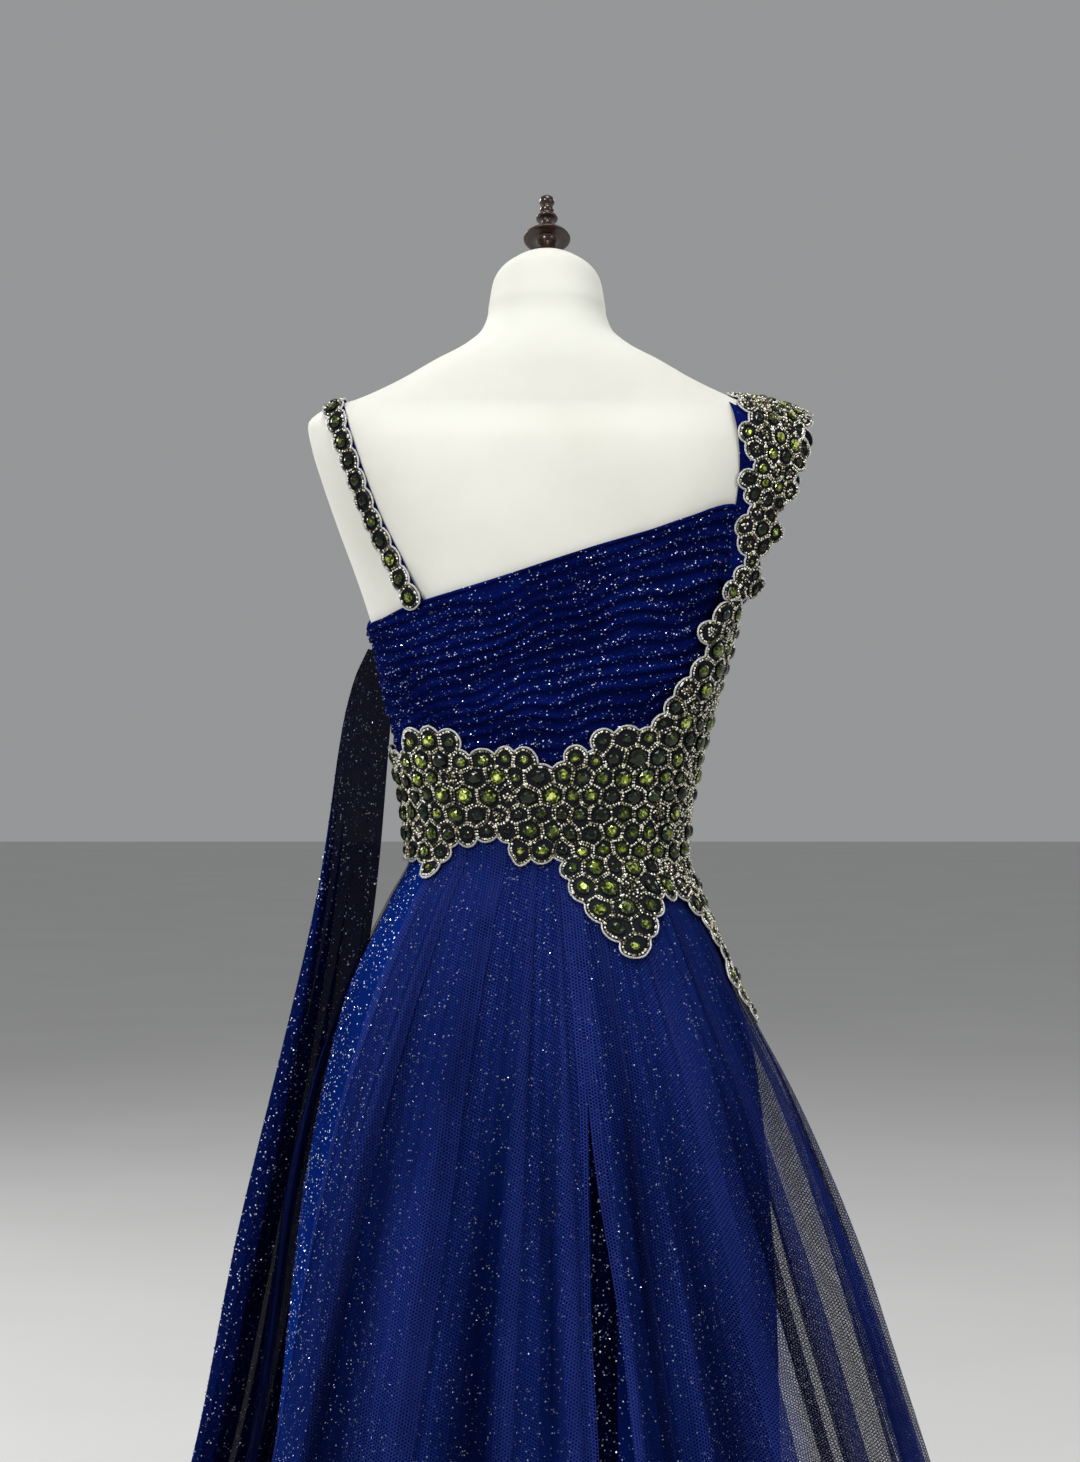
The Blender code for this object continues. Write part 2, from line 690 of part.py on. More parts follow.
def panel(name, point_at, angles, shares, thickness, material_name, collection):
    """A wall of cloth whose outer face is point_at(angle, share of the drop). One column
    more on each side gives neighbouring panels the same normals at their seam."""
    before, after = 2 * angles[0] - angles[1], 2 * angles[-1] - angles[-2]
    outer = [[point_at(angle, share) for angle in (before, *angles, after)] for share in shares]
    inner = thickened(outer, -thickness)
    outer, inner = [row[1:-1] for row in outer], [row[1:-1] for row in inner]
    wall(name, outer, inner, material_name, collection)


def skirt_point(body, hem_z, angle, share):
    high = seam_z(angle) - WAIST_GAP
    return body.point(angle, high + (hem_z - high) * share)


def build_satin(collection):
    """The satin skirt: one front panel, and two back panels that part in a slit."""

    def whole(angle, share):
        return skirt_point(SATIN_BODY, SATIN_HEM_Z, angle, share)

    def slit(angle, share):
        if share > SLIT_SHARE:
            away = (right_seam - angle) / (right_seam - SATIN_SEAM_ANGLE)
            angle += (SLIT_EDGE_ANGLE - SATIN_SEAM_ANGLE) * away
        return whole(angle, share)

    gap = gap_angle(SKIRT_SEAM_RADIUS)
    right_seam = 90 - gap
    for name, point_at, start, end, columns in (
        ("satin_back_left", whole, -90, SATIN_SEAM_ANGLE, 10),
        ("satin_back_right", slit, SATIN_SEAM_ANGLE + gap, right_seam, 8),
        ("satin_front", whole, 90, 270 - gap, 18),
    ):
        panel(name, point_at, spread(start, end, columns), SKIRT_SHARES, SATIN_WALL, "satin", collection)


def build_slit_insert(collection):
    """A strip of glitter tulle behind the slit, sewn in at the top and deeper at the hem."""
    outer, inner = [], []
    angles = spread(SATIN_SEAM_ANGLE - INSERT_REACH, SLIT_EDGE_ANGLE + INSERT_REACH, 4)
    for share in INSERT_SHARES:
        z = INSERT_TOP_Z + (INSERT_HEM_Z - INSERT_TOP_Z) * share
        depth = SATIN_WALL + INSERT_DEPTH[0] + (INSERT_DEPTH[1] - INSERT_DEPTH[0]) * share
        outer.append([SATIN_BODY.moved_out(angle, z, -depth) for angle in angles])
        inner.append([SATIN_BODY.moved_out(angle, z, -depth - NET_WALL) for angle in angles])
    wall("slit_insert", outer, inner, "net", collection)


def net_columns(piece, gap):
    """Angles of a net panel's columns: each fold's ridge, its flanks and its edges."""
    angles = {piece.start, piece.end - gap}
    for fold in NET_FOLDS:
        for share in BROAD_COLUMNS if fold.half_width > NARROW_FOLD else NARROW_COLUMNS:
            angle = fold.angle + share * fold.half_width
            if piece.start + EDGE_CLEAR < angle < piece.end - EDGE_CLEAR:
                angles.add(angle)
    kept = []
    for angle in sorted(angles):
        if not kept or angle - kept[-1] > COLUMN_CLEAR:
            kept.append(angle)
    return kept[:-1] + [piece.end - gap]


def build_net(collection):
    """The net overskirt, open at the left back, in four panels."""

    def point_at(angle, share):
        return skirt_point(NET_BODY, NET_HEM_Z, angle, share)

    gap = gap_angle(SKIRT_SEAM_RADIUS)
    for piece in NET_PANELS:
        panel(piece.name, point_at, net_columns(piece, gap), SKIRT_SHARES, NET_WALL, "net", collection)


def build_drape(collection):
    """The long tulle panel that hangs from the bodice at the wearer's left."""
    body = Body(DRAPE, no_relief)
    (top_start, top_end), (hem_start, hem_end) = DRAPE_TOP_ANGLES, DRAPE_HEM_ANGLES

    def point_at(along, share):
        z = DRAPE_TOP_Z + (DRAPE_HEM_Z - DRAPE_TOP_Z) * share
        start = top_start + (hem_start - top_start) * share
        end = top_end + (hem_end - top_end) * share
        swing = DRAPE_FOLD_DEPTH / 2 * ease_in((DRAPE_TOP_Z - z) / DRAPE_EASE)
        out = swing * math.sin(2 * math.pi * DRAPE_FOLDS * along)
        return body.moved_out(end + (start - end) * along, z, DRAPE_WALL + out)

    panel("side_drape", point_at, spread(0, 1, 4 * DRAPE_FOLDS), DRAPE_SHARES, DRAPE_WALL, "net", collection)


class Route:
    """A run of points, measured along its length."""

    def __init__(self, points):
        self.lengths = [0.0]
        for here, there in zip(points, points[1:]):
            self.lengths.append(self.lengths[-1] + (there - here).length)
        self.total = self.lengths[-1]

    def find(self, distance):
        """Which stretch this distance falls in, and how far along that stretch."""
        distance = min(max(distance, 0.0), self.total)
        i = next(k for k in range(len(self.lengths) - 1) if self.lengths[k + 1] >= distance)
        return i, (distance - self.lengths[i]) / (self.lengths[i + 1] - self.lengths[i])


# A cell's corners, as steps of half a pitch across and a third of a row up
HEX_CORNERS = ((0, 2), (1, 1), (1, -1), (0, -2), (-1, -1), (-1, 1))


def cell_corners(i, j):
    return [(2 * i + j % 2 + across, 3 * j + up) for across, up in HEX_CORNERS]


def uneven(key):
    """A small fixed shift of a honeycomb corner, different at each one."""
    phase = 12.9898 * key[0] + 78.233 * key[1]
    return UNEVEN_SHARE * math.sin(phase), UNEVEN_SHARE * math.cos(1.7 * phase)


def beaded(name, cells, corner_at, place, collection):
    """A backing with a raised crystal in each cell. Cells list their corners' keys,
    corner_at gives a key's place on the sheet, and place(p, q, out) the point in space."""
    users = {}
    for cell, keys in cells.items():
        for key in keys:
            users.setdefault(key, []).append(cell)
    middle = {}
    for cell, keys in cells.items():
        spots = [corner_at(key) for key in keys]
        middle[cell] = (sum(s[0] for s in spots) / 6, sum(s[1] for s in spots) / 6)
    points, base, under = [], {}, {}
    for key, near in users.items():
        p, q = corner_at(key)
        if len(near) < 3:
            mean_p = sum(middle[cell][0] for cell in near) / len(near)
            mean_q = sum(middle[cell][1] for cell in near) / len(near)
            away = math.hypot(mean_p - p, mean_q - q)
            p += (mean_p - p) * SEAM_GAP / away
            q += (mean_q - q) * SEAM_GAP / away
        base[key], under[key] = len(points), len(points) + 1
        points += [place(p, q, BEAD_BACKING), place(p, q, 0.0)]
    faces, edges = [], {}
    for cell, keys in cells.items():
        tip = len(points)
        points.append(place(*middle[cell], BEAD_BACKING + CRYSTAL_HEIGHT))
        faces.append(tuple(under[key] for key in reversed(keys)))
        for key, after in zip(keys, keys[1:] + keys[:1]):
            faces.append((base[key], base[after], tip))
            edges.setdefault(frozenset((key, after)), []).append((key, after))
    for uses in edges.values():
        if len(uses) == 1:
            a, b = uses[0]
            faces.append((base[b], base[a], under[a], under[b]))
    mesh = bpy.data.meshes.new(name)
    mesh.from_pydata(points, [], faces)
    return finish(name, mesh, "beadwork", collection)


def build_belt(collection):
    """The beaded waist, with the side panel under the arm and its tail on the hip."""
    rule = Route([NET_BODY.point(angle, BELT_RULE_Z) for angle in spread(-90, 270, BELT_STEPS)])
    columns = 2 * round(rule.total / CRYSTAL_PITCH / 2)
    pitch = rule.total / columns
    top, bottom = smooth(BELT, "angle", "top"), smooth(BELT, "angle", "bottom")

    def angle_at(p):
        turns, rest = divmod(p, rule.total)
        stretch, part = rule.find(rest)
        return -90 + 360 * (turns + (stretch + part) / BELT_STEPS)

    def corner_at(key):
        shift_p, shift_q = uneven((key[0] % (2 * columns), key[1]))
        return (key[0] / 2 + shift_p) * pitch, BELT_LOW_Z + (key[1] / 3 + shift_q) * ROW_PITCH

    def place(p, q, out):
        return NET_BODY.moved_out(angle_at(p), q, BEAD_GAP + out)

    for piece in BELT_PANELS:
        cells = {}
        for j in range(BELT_ROWS):
            z = BELT_LOW_Z + j * ROW_PITCH
            for i in range(columns):
                angle = angle_at((i + (j % 2) / 2) * pitch)
                if piece.start <= angle < piece.end and bottom(angle) < z < top(angle):
                    cells[i, j] = cell_corners(i, j)
        beaded(piece.name, joined(cells), corner_at, place, collection)


def joined(cells):
    """The cells that share an edge with the largest group, so that a piece is one body."""
    left, groups = set(cells), []
    while left:
        group, todo = set(), [left.pop()]
        while todo:
            cell = todo.pop()
            group.add(cell)
            mine = set(cells[cell])
            near = {other for other in left if len(mine & set(cells[other])) >= 2}
            left -= near
            todo += near
        groups.append(group)
    largest = max(groups, key=len)
    return {cell: keys for cell, keys in cells.items() if cell in largest}


def on_figure(x, z, side):
    """The point of the gown's figure at this x and height, side being -1 for the back."""
    point = Vector((x, FIGURE_BODY.depth_at(x, z, side), z))
    angle = math.degrees(math.atan2(point.x, -point.y))
    return point + Vector((point.x, point.y, 0)).normalized() * cups(angle, z)


def strap_lines():
    """Inner and outer edge of the wide strap, from the back underarm over the shoulder."""
    inner, outer = [], []
    for side, rows in ((-1, WIDE_STRAP), (1, WIDE_STRAP[-2::-1])):
        for row in rows:
            if row is WIDE_STRAP[-1]:
                inner.append(Vector((row.inner_x, 0.0, row.inner_z)))
            else:
                inner.append(on_figure(row.inner_x, row.inner_z, side))
            outer.append(Vector((row.outer_x, side * row.outer_y, row.outer_z)))
    return inner, outer


def curve_through(points):
    """The place on a smooth curve through the points at each share of the way along it."""

    def at(share):
        along = min(max(share, 0.0), 1.0) * (len(points) - 1)
        i = min(int(along), len(points) - 2)
        t = along - i
        before, here = points[max(i - 1, 0)], points[i]
        there, after = points[i + 1], points[min(i + 2, len(points) - 1)]
        near = here * (1 + 2 * t) * (1 - t) ** 2 + there * t * t * (3 - 2 * t)
        pull = (there - before) * (1 - t) - (after - here) * t
        return near + pull * t * (1 - t) / 2

    return at


def build_wide_strap(collection):
    """The beaded strap over the wearer's right shoulder, a back and a front piece."""
    inner, outer = strap_lines()
    inner_at, outer_at = curve_through(inner), curve_through(outer)

    def middle_at(share):
        return (inner_at(share) + outer_at(share)) / 2

    middle = Route([middle_at(share) for share in spread(0, 1, STRAP_STEPS)])
    rows = 2 * int(middle.total / ROW_PITCH / 2)
    start = (middle.total - (rows - 1) * ROW_PITCH) / 2

    def share_at(q):
        stretch, part = middle.find(q)
        return (stretch + part) / STRAP_STEPS

    def width_at(q):
        return (outer_at(share_at(q)) - inner_at(share_at(q))).length

    def corner_at(key):
        shift_p, shift_q = uneven(key)
        return (key[0] / 2 + shift_p) * CRYSTAL_PITCH, start + (key[1] / 3 + shift_q) * ROW_PITCH

    def place(p, q, out):
        share = share_at(q)
        inside, outside = inner_at(share), outer_at(share)
        across = (outside - inside).normalized()
        ahead = middle_at(share + 0.01) - middle_at(share - 0.01)
        crown = STRAP_CROWN * max(0.0, 1 - (2 * p / width_at(q)) ** 2)
        over_bodice = 1 - ease_in(min(q, middle.total - q) / STRAP_END_REACH)
        lift = STRAP_LIFT + STRAP_END_LIFT * over_bodice + crown + out
        return middle_at(share) + across * p + across.cross(ahead).normalized() * lift

    half = rows // 2
    for name, low, high in (("beaded_strap_back", 0, half), ("beaded_strap_front", half, rows)):
        cells = {}
        for j in range(low, high):
            reach = width_at(start + j * ROW_PITCH) / 2 - STRAP_MARGIN
            for i in range(-3, 4):
                if abs(i + (j % 2) / 2) * CRYSTAL_PITCH < reach:
                    cells[i, j] = cell_corners(i, j)
        beaded(name, joined(cells), corner_at, place, collection)


def narrow_path():
    """Points and outward directions along the narrow strap, over the left shoulder."""
    x_at = smooth(NARROW_STRAP, "z", "x")
    legs = []
    for side, low in ((-1, NARROW_STRAP[0].z), (1, NARROW_FRONT_Z)):
        leg = []
        for share in spread(0, 1, NARROW_STEPS):
            z = low + (NARROW_SHOULDER_Z - low) * math.sin(share * math.pi / 2)
            point = on_figure(x_at(z), z, side)
            angle = math.degrees(math.atan2(point.x, -point.y))
            leg.append((point, FIGURE_BODY.normal(angle, min(z, NARROW_LEVEL_Z))))
        legs.append(leg)
    return legs[0] + legs[1][-2::-1]


def build_narrow_strap(collection):
    """One row of crystals over the wearer's left shoulder, a back and a front piece."""
    path = narrow_path()
    middle = Route([point for point, _ in path])
    count = 2 * int(middle.total / NARROW_CELL / 2)

    def corner_at(key):
        side, station = key
        reach = NARROW_BELLY if station % 2 else NARROW_WAIST
        return side * reach, station / 2 * middle.total / count

    def place(p, q, out):
        stretch, part = middle.find(q)
        (here, near), (there, far) = path[stretch], path[stretch + 1]
        normal = near.lerp(far, part).normalized()
        across = (there - here).cross(normal).normalized()
        over_bodice = 1 - ease_in(min(q, middle.total - q) / NARROW_END_REACH)
        lift = NARROW_LIFT + (NARROW_END_LIFT - NARROW_LIFT) * over_bodice + out
        return here.lerp(there, part) + across * p + normal * lift

    half = count // 2
    for name, low, high in (("crystal_strap_back", 0, half), ("crystal_strap_front", half, count)):
        cells = {}
        for k in range(low, high):
            stations = (2 * k, 2 * k + 1, 2 * k + 2)
            cells[k] = [(1, station) for station in stations] + [(-1, station) for station in stations[::-1]]
        beaded(name, cells, corner_at, place, collection)


def main():
    clear_scene()
    gown = bpy.data.collections.new("evening_gown_on_dress_form")
    bpy.context.scene.collection.children.link(gown)
    build_form(gown)
    build_bodice(gown)
    build_satin(gown)
    build_slit_insert(gown)
    build_net(gown)
    build_drape(gown)
    build_belt(gown)
    build_wide_strap(gown)
    build_narrow_strap(gown)


main()
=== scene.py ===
"""The looks of an evening gown on its dress form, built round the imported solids.

Metres, +Z up. The gown faces +Y, so its back is at -Y and the wearer's right side at
+X. Angles go round the body in degrees from the centre back: 90 is the wearer's right
side, 180 the centre front, and -90 or 270 the wearer's left side.
"""

import math
from collections import Counter, namedtuple

import bpy
import numpy as np
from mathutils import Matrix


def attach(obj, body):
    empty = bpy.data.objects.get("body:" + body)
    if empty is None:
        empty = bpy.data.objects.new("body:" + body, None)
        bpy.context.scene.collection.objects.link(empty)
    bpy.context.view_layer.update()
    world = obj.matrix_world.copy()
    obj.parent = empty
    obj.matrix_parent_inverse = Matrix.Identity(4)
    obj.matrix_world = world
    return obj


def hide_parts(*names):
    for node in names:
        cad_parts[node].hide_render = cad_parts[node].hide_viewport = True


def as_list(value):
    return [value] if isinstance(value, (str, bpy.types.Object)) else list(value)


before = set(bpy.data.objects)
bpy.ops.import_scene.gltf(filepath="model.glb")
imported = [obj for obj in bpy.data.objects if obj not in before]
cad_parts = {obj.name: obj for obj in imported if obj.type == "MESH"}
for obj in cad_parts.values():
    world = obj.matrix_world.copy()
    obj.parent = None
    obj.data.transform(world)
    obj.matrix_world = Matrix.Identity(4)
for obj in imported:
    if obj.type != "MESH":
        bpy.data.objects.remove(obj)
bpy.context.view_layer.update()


# The room. A plain pale floor runs out of sight under soft lamps, and the camera stands
# behind the gown at bust height, as the photograph was taken. None of it is the gown.


class Wire:
    """An output of a node. Arithmetic on wires and numbers adds Math nodes."""

    def __init__(self, finish, socket):
        self.finish = finish
        self.socket = socket

    def maths(self, operation, first, second=0.0):
        return self.finish.node("ShaderNodeMath", {"operation": operation}, {0: first, 1: second})

    def __add__(self, other):
        return self.maths("ADD", self, other)

    def __sub__(self, other):
        return self.maths("SUBTRACT", self, other)

    def __rsub__(self, other):
        return self.maths("SUBTRACT", other, self)

    def __mul__(self, other):
        return self.maths("MULTIPLY", self, other)

    def cosine(self):
        return self.maths("COSINE", self)

    def output(self, name):
        return Wire(self.finish, self.socket.node.outputs[name])


class Finish:
    """A material with one Principled shader. Its constants sit on the shader's sockets."""

    def __init__(self, name, **constants):
        self.material = bpy.data.materials.new(name)
        self.material.use_nodes = True
        self.tree = self.material.node_tree
        self.shader = self.tree.nodes["Principled BSDF"]
        for socket, value in constants.items():
            self.shader.inputs[socket.replace("_", " ")].default_value = value

    def node(self, kind, settings=None, values=None, output=0):
        made = self.tree.nodes.new(kind)
        for name, value in (settings or {}).items():
            setattr(made, name, value)
        for name, value in (values or {}).items():
            if isinstance(value, Wire):
                self.tree.links.new(value.socket, made.inputs[name])
            else:
                made.inputs[name].default_value = value
        return Wire(self, made.outputs[output])

    def place(self, kind):
        """Where a point lies on its piece: its place in the room, or its UV in metres."""
        return self.node("ShaderNodeTexCoord", output=kind)

    def shade(self):
        """The number that each face of the piece carries under the name shade."""
        return self.node("ShaderNodeAttribute", {"attribute_name": "shade"}, output="Fac")

    def texture(self, kind, place, scale, settings=None, output=0, **values):
        return self.node(kind, settings, {"Vector": place, "Scale": scale, **values}, output)

    def noise(self, place, scale, detail=2.0, stretch=(1, 1, 1)):
        moved = self.node("ShaderNodeVectorMath", {"operation": "MULTIPLY"}, {0: place, 1: stretch})
        return self.texture("ShaderNodeTexNoise", moved, scale, Detail=detail)

    def blend(self, share, first, second):
        values = {0: share, 6: (*first, 1.0) if isinstance(first, tuple) else first}
        values[7] = (*second, 1.0) if isinstance(second, tuple) else second
        return self.node("ShaderNodeMix", {"data_type": "RGBA"}, values, output=2)

    def step(self, value, low, high, to_low=0.0, to_high=1.0):
        """A soft step from to_low to to_high as the value goes from low to high."""
        values = {"Value": value, "From Min": low, "From Max": high}
        values |= {"To Min": to_low, "To Max": to_high}
        return self.node("ShaderNodeMapRange", {"interpolation_type": "SMOOTHSTEP"}, values)

    def ramp(self, value, *stops):
        """A colour for each value, by stops that go from 0 to 1."""
        made = self.node("ShaderNodeValToRGB", values={"Fac": value})
        elements = made.socket.node.color_ramp.elements
        for at, _ in stops[1:-1]:
            elements.new(at)
        for element, (_, colour) in zip(elements, stops):
            element.color = (*colour, 1.0)
        return made

    def waves(self, place, across, down):
        """Cosine waves of these lengths across and down a place."""
        parts = self.node("ShaderNodeSeparateXYZ", values={"Vector": place})
        wave = (parts * (2 * math.pi / across)).cosine()
        return wave, (parts.output("Y") * (2 * math.pi / down)).cosine()

    def varies(self, **wires):
        for socket, wire in wires.items():
            self.tree.links.new(wire.socket, self.shader.inputs[socket.replace("_", " ")])
        return self

    def bumps(self, height, distance, strength=1.0):
        values = {"Height": height, "Distance": distance, "Strength": strength}
        return self.varies(Normal=self.node("ShaderNodeBump", values=values))


def build(name, points, faces, finish, uv=None, smooth_shaded=True, shades=None):
    """An object from points and faces, with its UV for each point and a shade for each face."""
    mesh = bpy.data.meshes.new(name)
    mesh.from_pydata(np.asarray(points, float).reshape(-1, 3).tolist(), [], faces)
    if uv is not None:
        corners = np.empty(len(mesh.loops), np.int32)
        mesh.loops.foreach_get("vertex_index", corners)
        layer = mesh.uv_layers.new(name="UVMap")
        layer.data.foreach_set("uv", np.asarray(uv, np.float32).reshape(-1, 2)[corners].ravel())
    if shades is not None:
        layer = mesh.attributes.new("shade", "FLOAT", "FACE")
        layer.data.foreach_set("value", np.asarray(shades, np.float32))
    if smooth_shaded:
        mesh.shade_smooth()
    made = bpy.data.objects.new(name, mesh)
    made.data.materials.append(finish.material)
    bpy.context.scene.collection.objects.link(made)
    return made


FLOOR_HALF = 30.0
SKY_STRENGTH = 0.38
LAMP_AIM_Z = 1.1
LAMPS = [  # place, size, watts
    ((-3.0, -4.8, 3.9), 1.4, 205),
    ((4.6, -3.4, 2.4), 2.2, 50),
    ((0.3, -1.4, 5.4), 2.2, 135),
    ((-4.4, 3.4, 3.0), 1.8, 165),
    ((4.2, 4.2, 3.4), 2.0, 45),
]
PIXEL = 0.00082
IMAGE_HEIGHT = 1462
CAMERA_AWAY = 2.6
CAMERA_RIGHT = -0.00574
CAMERA_HEIGHT = 1.1376

floor_finish = Finish("pale_floor", Roughness=0.75, Specular_IOR_Level=0.2)
cloudy = floor_finish.noise(floor_finish.place("Object"), 1.5)
floor_finish.varies(Base_Color=floor_finish.blend(cloudy, (0.62, 0.62, 0.61), (0.68, 0.68, 0.67)))
square = [(x * FLOOR_HALF, y * FLOOR_HALF, 0) for x, y in ((-1, -1), (1, -1), (1, 1), (-1, 1))]
build("floor", square, [(0, 1, 2, 3)], floor_finish)

for number, (place, size, watts) in enumerate(LAMPS):
    lamp = bpy.data.lights.new(f"lamp_{number}", "AREA")
    lamp.energy = watts
    lamp.size = size
    holder = bpy.data.objects.new(lamp.name, lamp)
    holder.location = place
    aim = np.array((0, 0, LAMP_AIM_Z)) - place
    tilt = math.acos(-aim[2] / np.linalg.norm(aim))
    holder.rotation_euler = (tilt, 0, math.atan2(-aim[0], aim[1]))
    bpy.context.scene.collection.objects.link(holder)

sky = bpy.data.worlds.new("studio")
sky.use_nodes = True
sky.node_tree.nodes["Background"].inputs["Color"].default_value = (0.80, 0.81, 0.82, 1)
sky.node_tree.nodes["Background"].inputs["Strength"].default_value = SKY_STRENGTH
bpy.context.scene.world = sky
bpy.context.scene.view_settings.view_transform = "Standard"

lens = bpy.data.cameras.new("camera")
lens.lens = lens.sensor_width * CAMERA_AWAY / (IMAGE_HEIGHT * PIXEL)
camera = bpy.data.objects.new("camera", lens)
camera.location = (CAMERA_RIGHT, -CAMERA_AWAY, CAMERA_HEIGHT)
camera.rotation_euler = (math.pi / 2, 0, 0)
bpy.context.scene.collection.objects.link(camera)
bpy.context.scene.camera = camera


# The torso. A padded shell with no limbs, covered in one piece of cream stretch jersey
# that is pulled smooth over it and over the slanted top of the neck.

SQUARENESS = 2.4
CUP_ANGLES = (148.0, 212.0)
CUP_SPREAD = 29.0
CUP_Z = 1.238
CUP_HEIGHT = 0.052
CUP_DEPTH = 0.020
FORM_CUP_SHARE = 0.70
NECK_LOW_Z = 1.482
NECK_HALF = 0.048
NECK_SLANT = 0.027
NECK_FOOT_Z = 1.43
JERSEY_RIB = 0.0011
FORM_LOW_Z = 0.79
FORM_SPLIT_Z = (1.33, 1.325)
FORM_ROWS = (44, 40)
FORM_COLUMNS = 85
NECK_ROWS = 32
FORM_FOOT = ((0.006, 0.992), (0.012, 0.975), (0.017, 0.94), (0.020, 0.90), (0.020, 0.0))

Section = namedtuple("Section", "z right left back front")
FormRing = namedtuple("FormRing", "rise size slant")


def table(kind, *rows):
    return [kind(*row) for row in rows]


FIGURE = table(
    Section,
    (0.790, 0.142, 0.142, 0.100, 0.096), (0.880, 0.152, 0.152, 0.110, 0.101),
    (0.950, 0.136, 0.136, 0.100, 0.096), (1.000, 0.116, 0.116, 0.086, 0.088),
    (1.040, 0.107, 0.107, 0.077, 0.083), (1.080, 0.110, 0.110, 0.079, 0.085),
    (1.120, 0.119, 0.119, 0.085, 0.090), (1.170, 0.130, 0.130, 0.093, 0.098),
    (1.220, 0.142, 0.142, 0.099, 0.103), (1.260, 0.155, 0.155, 0.102, 0.102),
    (1.300, 0.170, 0.170, 0.103, 0.096), (1.340, 0.184, 0.184, 0.100, 0.083),
    (1.370, 0.193, 0.193, 0.094, 0.068), (1.387, 0.196, 0.196, 0.086, 0.058),
    (1.398, 0.186, 0.186, 0.080, 0.052), (1.408, 0.156, 0.156, 0.076, 0.048),
    (1.424, 0.121, 0.121, 0.071, 0.045), (1.440, 0.093, 0.093, 0.067, 0.044),
    (1.453, 0.068, 0.068, 0.062, 0.044), (1.466, 0.053, 0.053, 0.057, 0.046),
    (1.481, 0.048, 0.048, 0.053, 0.047), (1.505, 0.047, 0.047, 0.052, 0.047),
)
NECK = table(
    FormRing,
    (0.0, 1.0, 0.35), (0.0170, 0.93, 0.92), (0.0222, 0.84, 1.0),
    (0.0284, 0.68, 1.0), (0.0354, 0.36, 1.0), (0.0367, 0.0, 1.0),
)


def smooth(keys, values):
    """A curve through the values at the keys that never overshoots them."""
    keys, values = np.array(keys, float), np.array(values, float)
    steps = np.diff(values) / np.diff(keys)
    before, after = steps[:-1], steps[1:]
    same_way = before * after > 0
    between = np.where(same_way, 2 * before * after / np.where(same_way, before + after, 1.0), 0.0)
    slopes = np.concatenate([steps[:1], between, steps[-1:]])

    def value(key):
        key = np.clip(key, keys[0], keys[-1])
        i = np.clip(np.searchsorted(keys, key) - 1, 0, len(keys) - 2)
        span = keys[i + 1] - keys[i]
        t = (key - keys[i]) / span
        rise = values[i] * (1 + 2 * t) * (1 - t) ** 2 + values[i + 1] * t * t * (3 - 2 * t)
        return rise + span * (slopes[i] * t * (1 - t) ** 2 - slopes[i + 1] * t * t * (1 - t))

    return value


def curve(rows, key, field):
    """A smooth curve through one field of a table, by another field of it."""
    return smooth([getattr(row, key) for row in rows], [getattr(row, field) for row in rows])


def unit(vectors):
    return vectors / np.linalg.norm(vectors, axis=-1, keepdims=True)


class Body:
    """A surface of oval sections round the upright axis, with its own relief."""

    def __init__(self, rows, relief=None):
        self.sides = {side: curve(rows, "z", side) for side in Section._fields[1:]}
        self.relief = relief

    def point(self, angle, z):
        across, back = np.sin(np.radians(angle)), np.cos(np.radians(angle))
        side = np.where(across > 0, self.sides["right"](z), self.sides["left"](z))
        depth = np.where(back > 0, self.sides["back"](z), self.sides["front"](z))
        oval = np.abs(across / side) ** SQUARENESS + np.abs(back / depth) ** SQUARENESS
        radius = oval ** (-1 / SQUARENESS)
        if self.relief:
            radius = radius + self.relief(angle, z)
        return np.stack(np.broadcast_arrays(radius * across, -radius * back, z), axis=-1)

    def normal(self, angle, z):
        around = self.point(angle + 1.0, z) - self.point(angle - 1.0, z)
        upward = self.point(angle, z + 0.002) - self.point(angle, z - 0.002)
        return unit(np.cross(around, upward))

    def moved_out(self, angle, z, distance):
        out = self.normal(angle, z) * np.asarray(distance)[..., None]
        return self.point(angle, z) + out


def cups(angle, z):
    """How far the bust stands out of the plain figure."""
    height = np.exp(-(((z - CUP_Z) / CUP_HEIGHT) ** 2))
    near = sum(np.exp(-(((angle % 360 - cup) / CUP_SPREAD) ** 2)) for cup in CUP_ANGLES)
    return CUP_DEPTH * height * near


def grid_faces(rows, columns, first=0, inside_out=False):
    """Quads of a grid of points whose rows run down and whose columns run to the right."""
    a = first + (np.arange(rows - 1)[:, None] * columns + np.arange(columns - 1)).ravel()
    quads = np.stack([a, a + columns, a + columns + 1, a + 1], axis=1)
    return (quads[:, ::-1] if inside_out else quads).tolist()


def run(grid, axis):
    """The length along a grid's rows or columns at each of its points."""
    steps = np.linalg.norm(np.diff(grid, axis=axis), axis=-1)
    start = np.zeros_like(np.take(steps, [0], axis=axis))
    return np.cumsum(np.concatenate([start, steps], axis=axis), axis=axis)


def flat_uv(grid):
    """The UV of a grid laid flat, in metres: across from its middle column, and down."""
    middle = grid.shape[1] // 2
    across = run(grid, 1)
    down = np.broadcast_to(run(grid, 0)[:, middle : middle + 1], across.shape)
    return np.stack([across - across[:, middle : middle + 1], down], axis=-1)


def spread(name, grid, finish):
    """An object from a grid of points, with the UV of the grid laid flat."""
    return build(name, grid, grid_faces(*grid.shape[:2]), finish, flat_uv(grid))


def settle(piece, slot, *nodes):
    """The piece moves with the gown and stands for its nodes. slot is not used."""
    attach(piece, "root")
    if nodes:
        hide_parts(*nodes)
    return piece


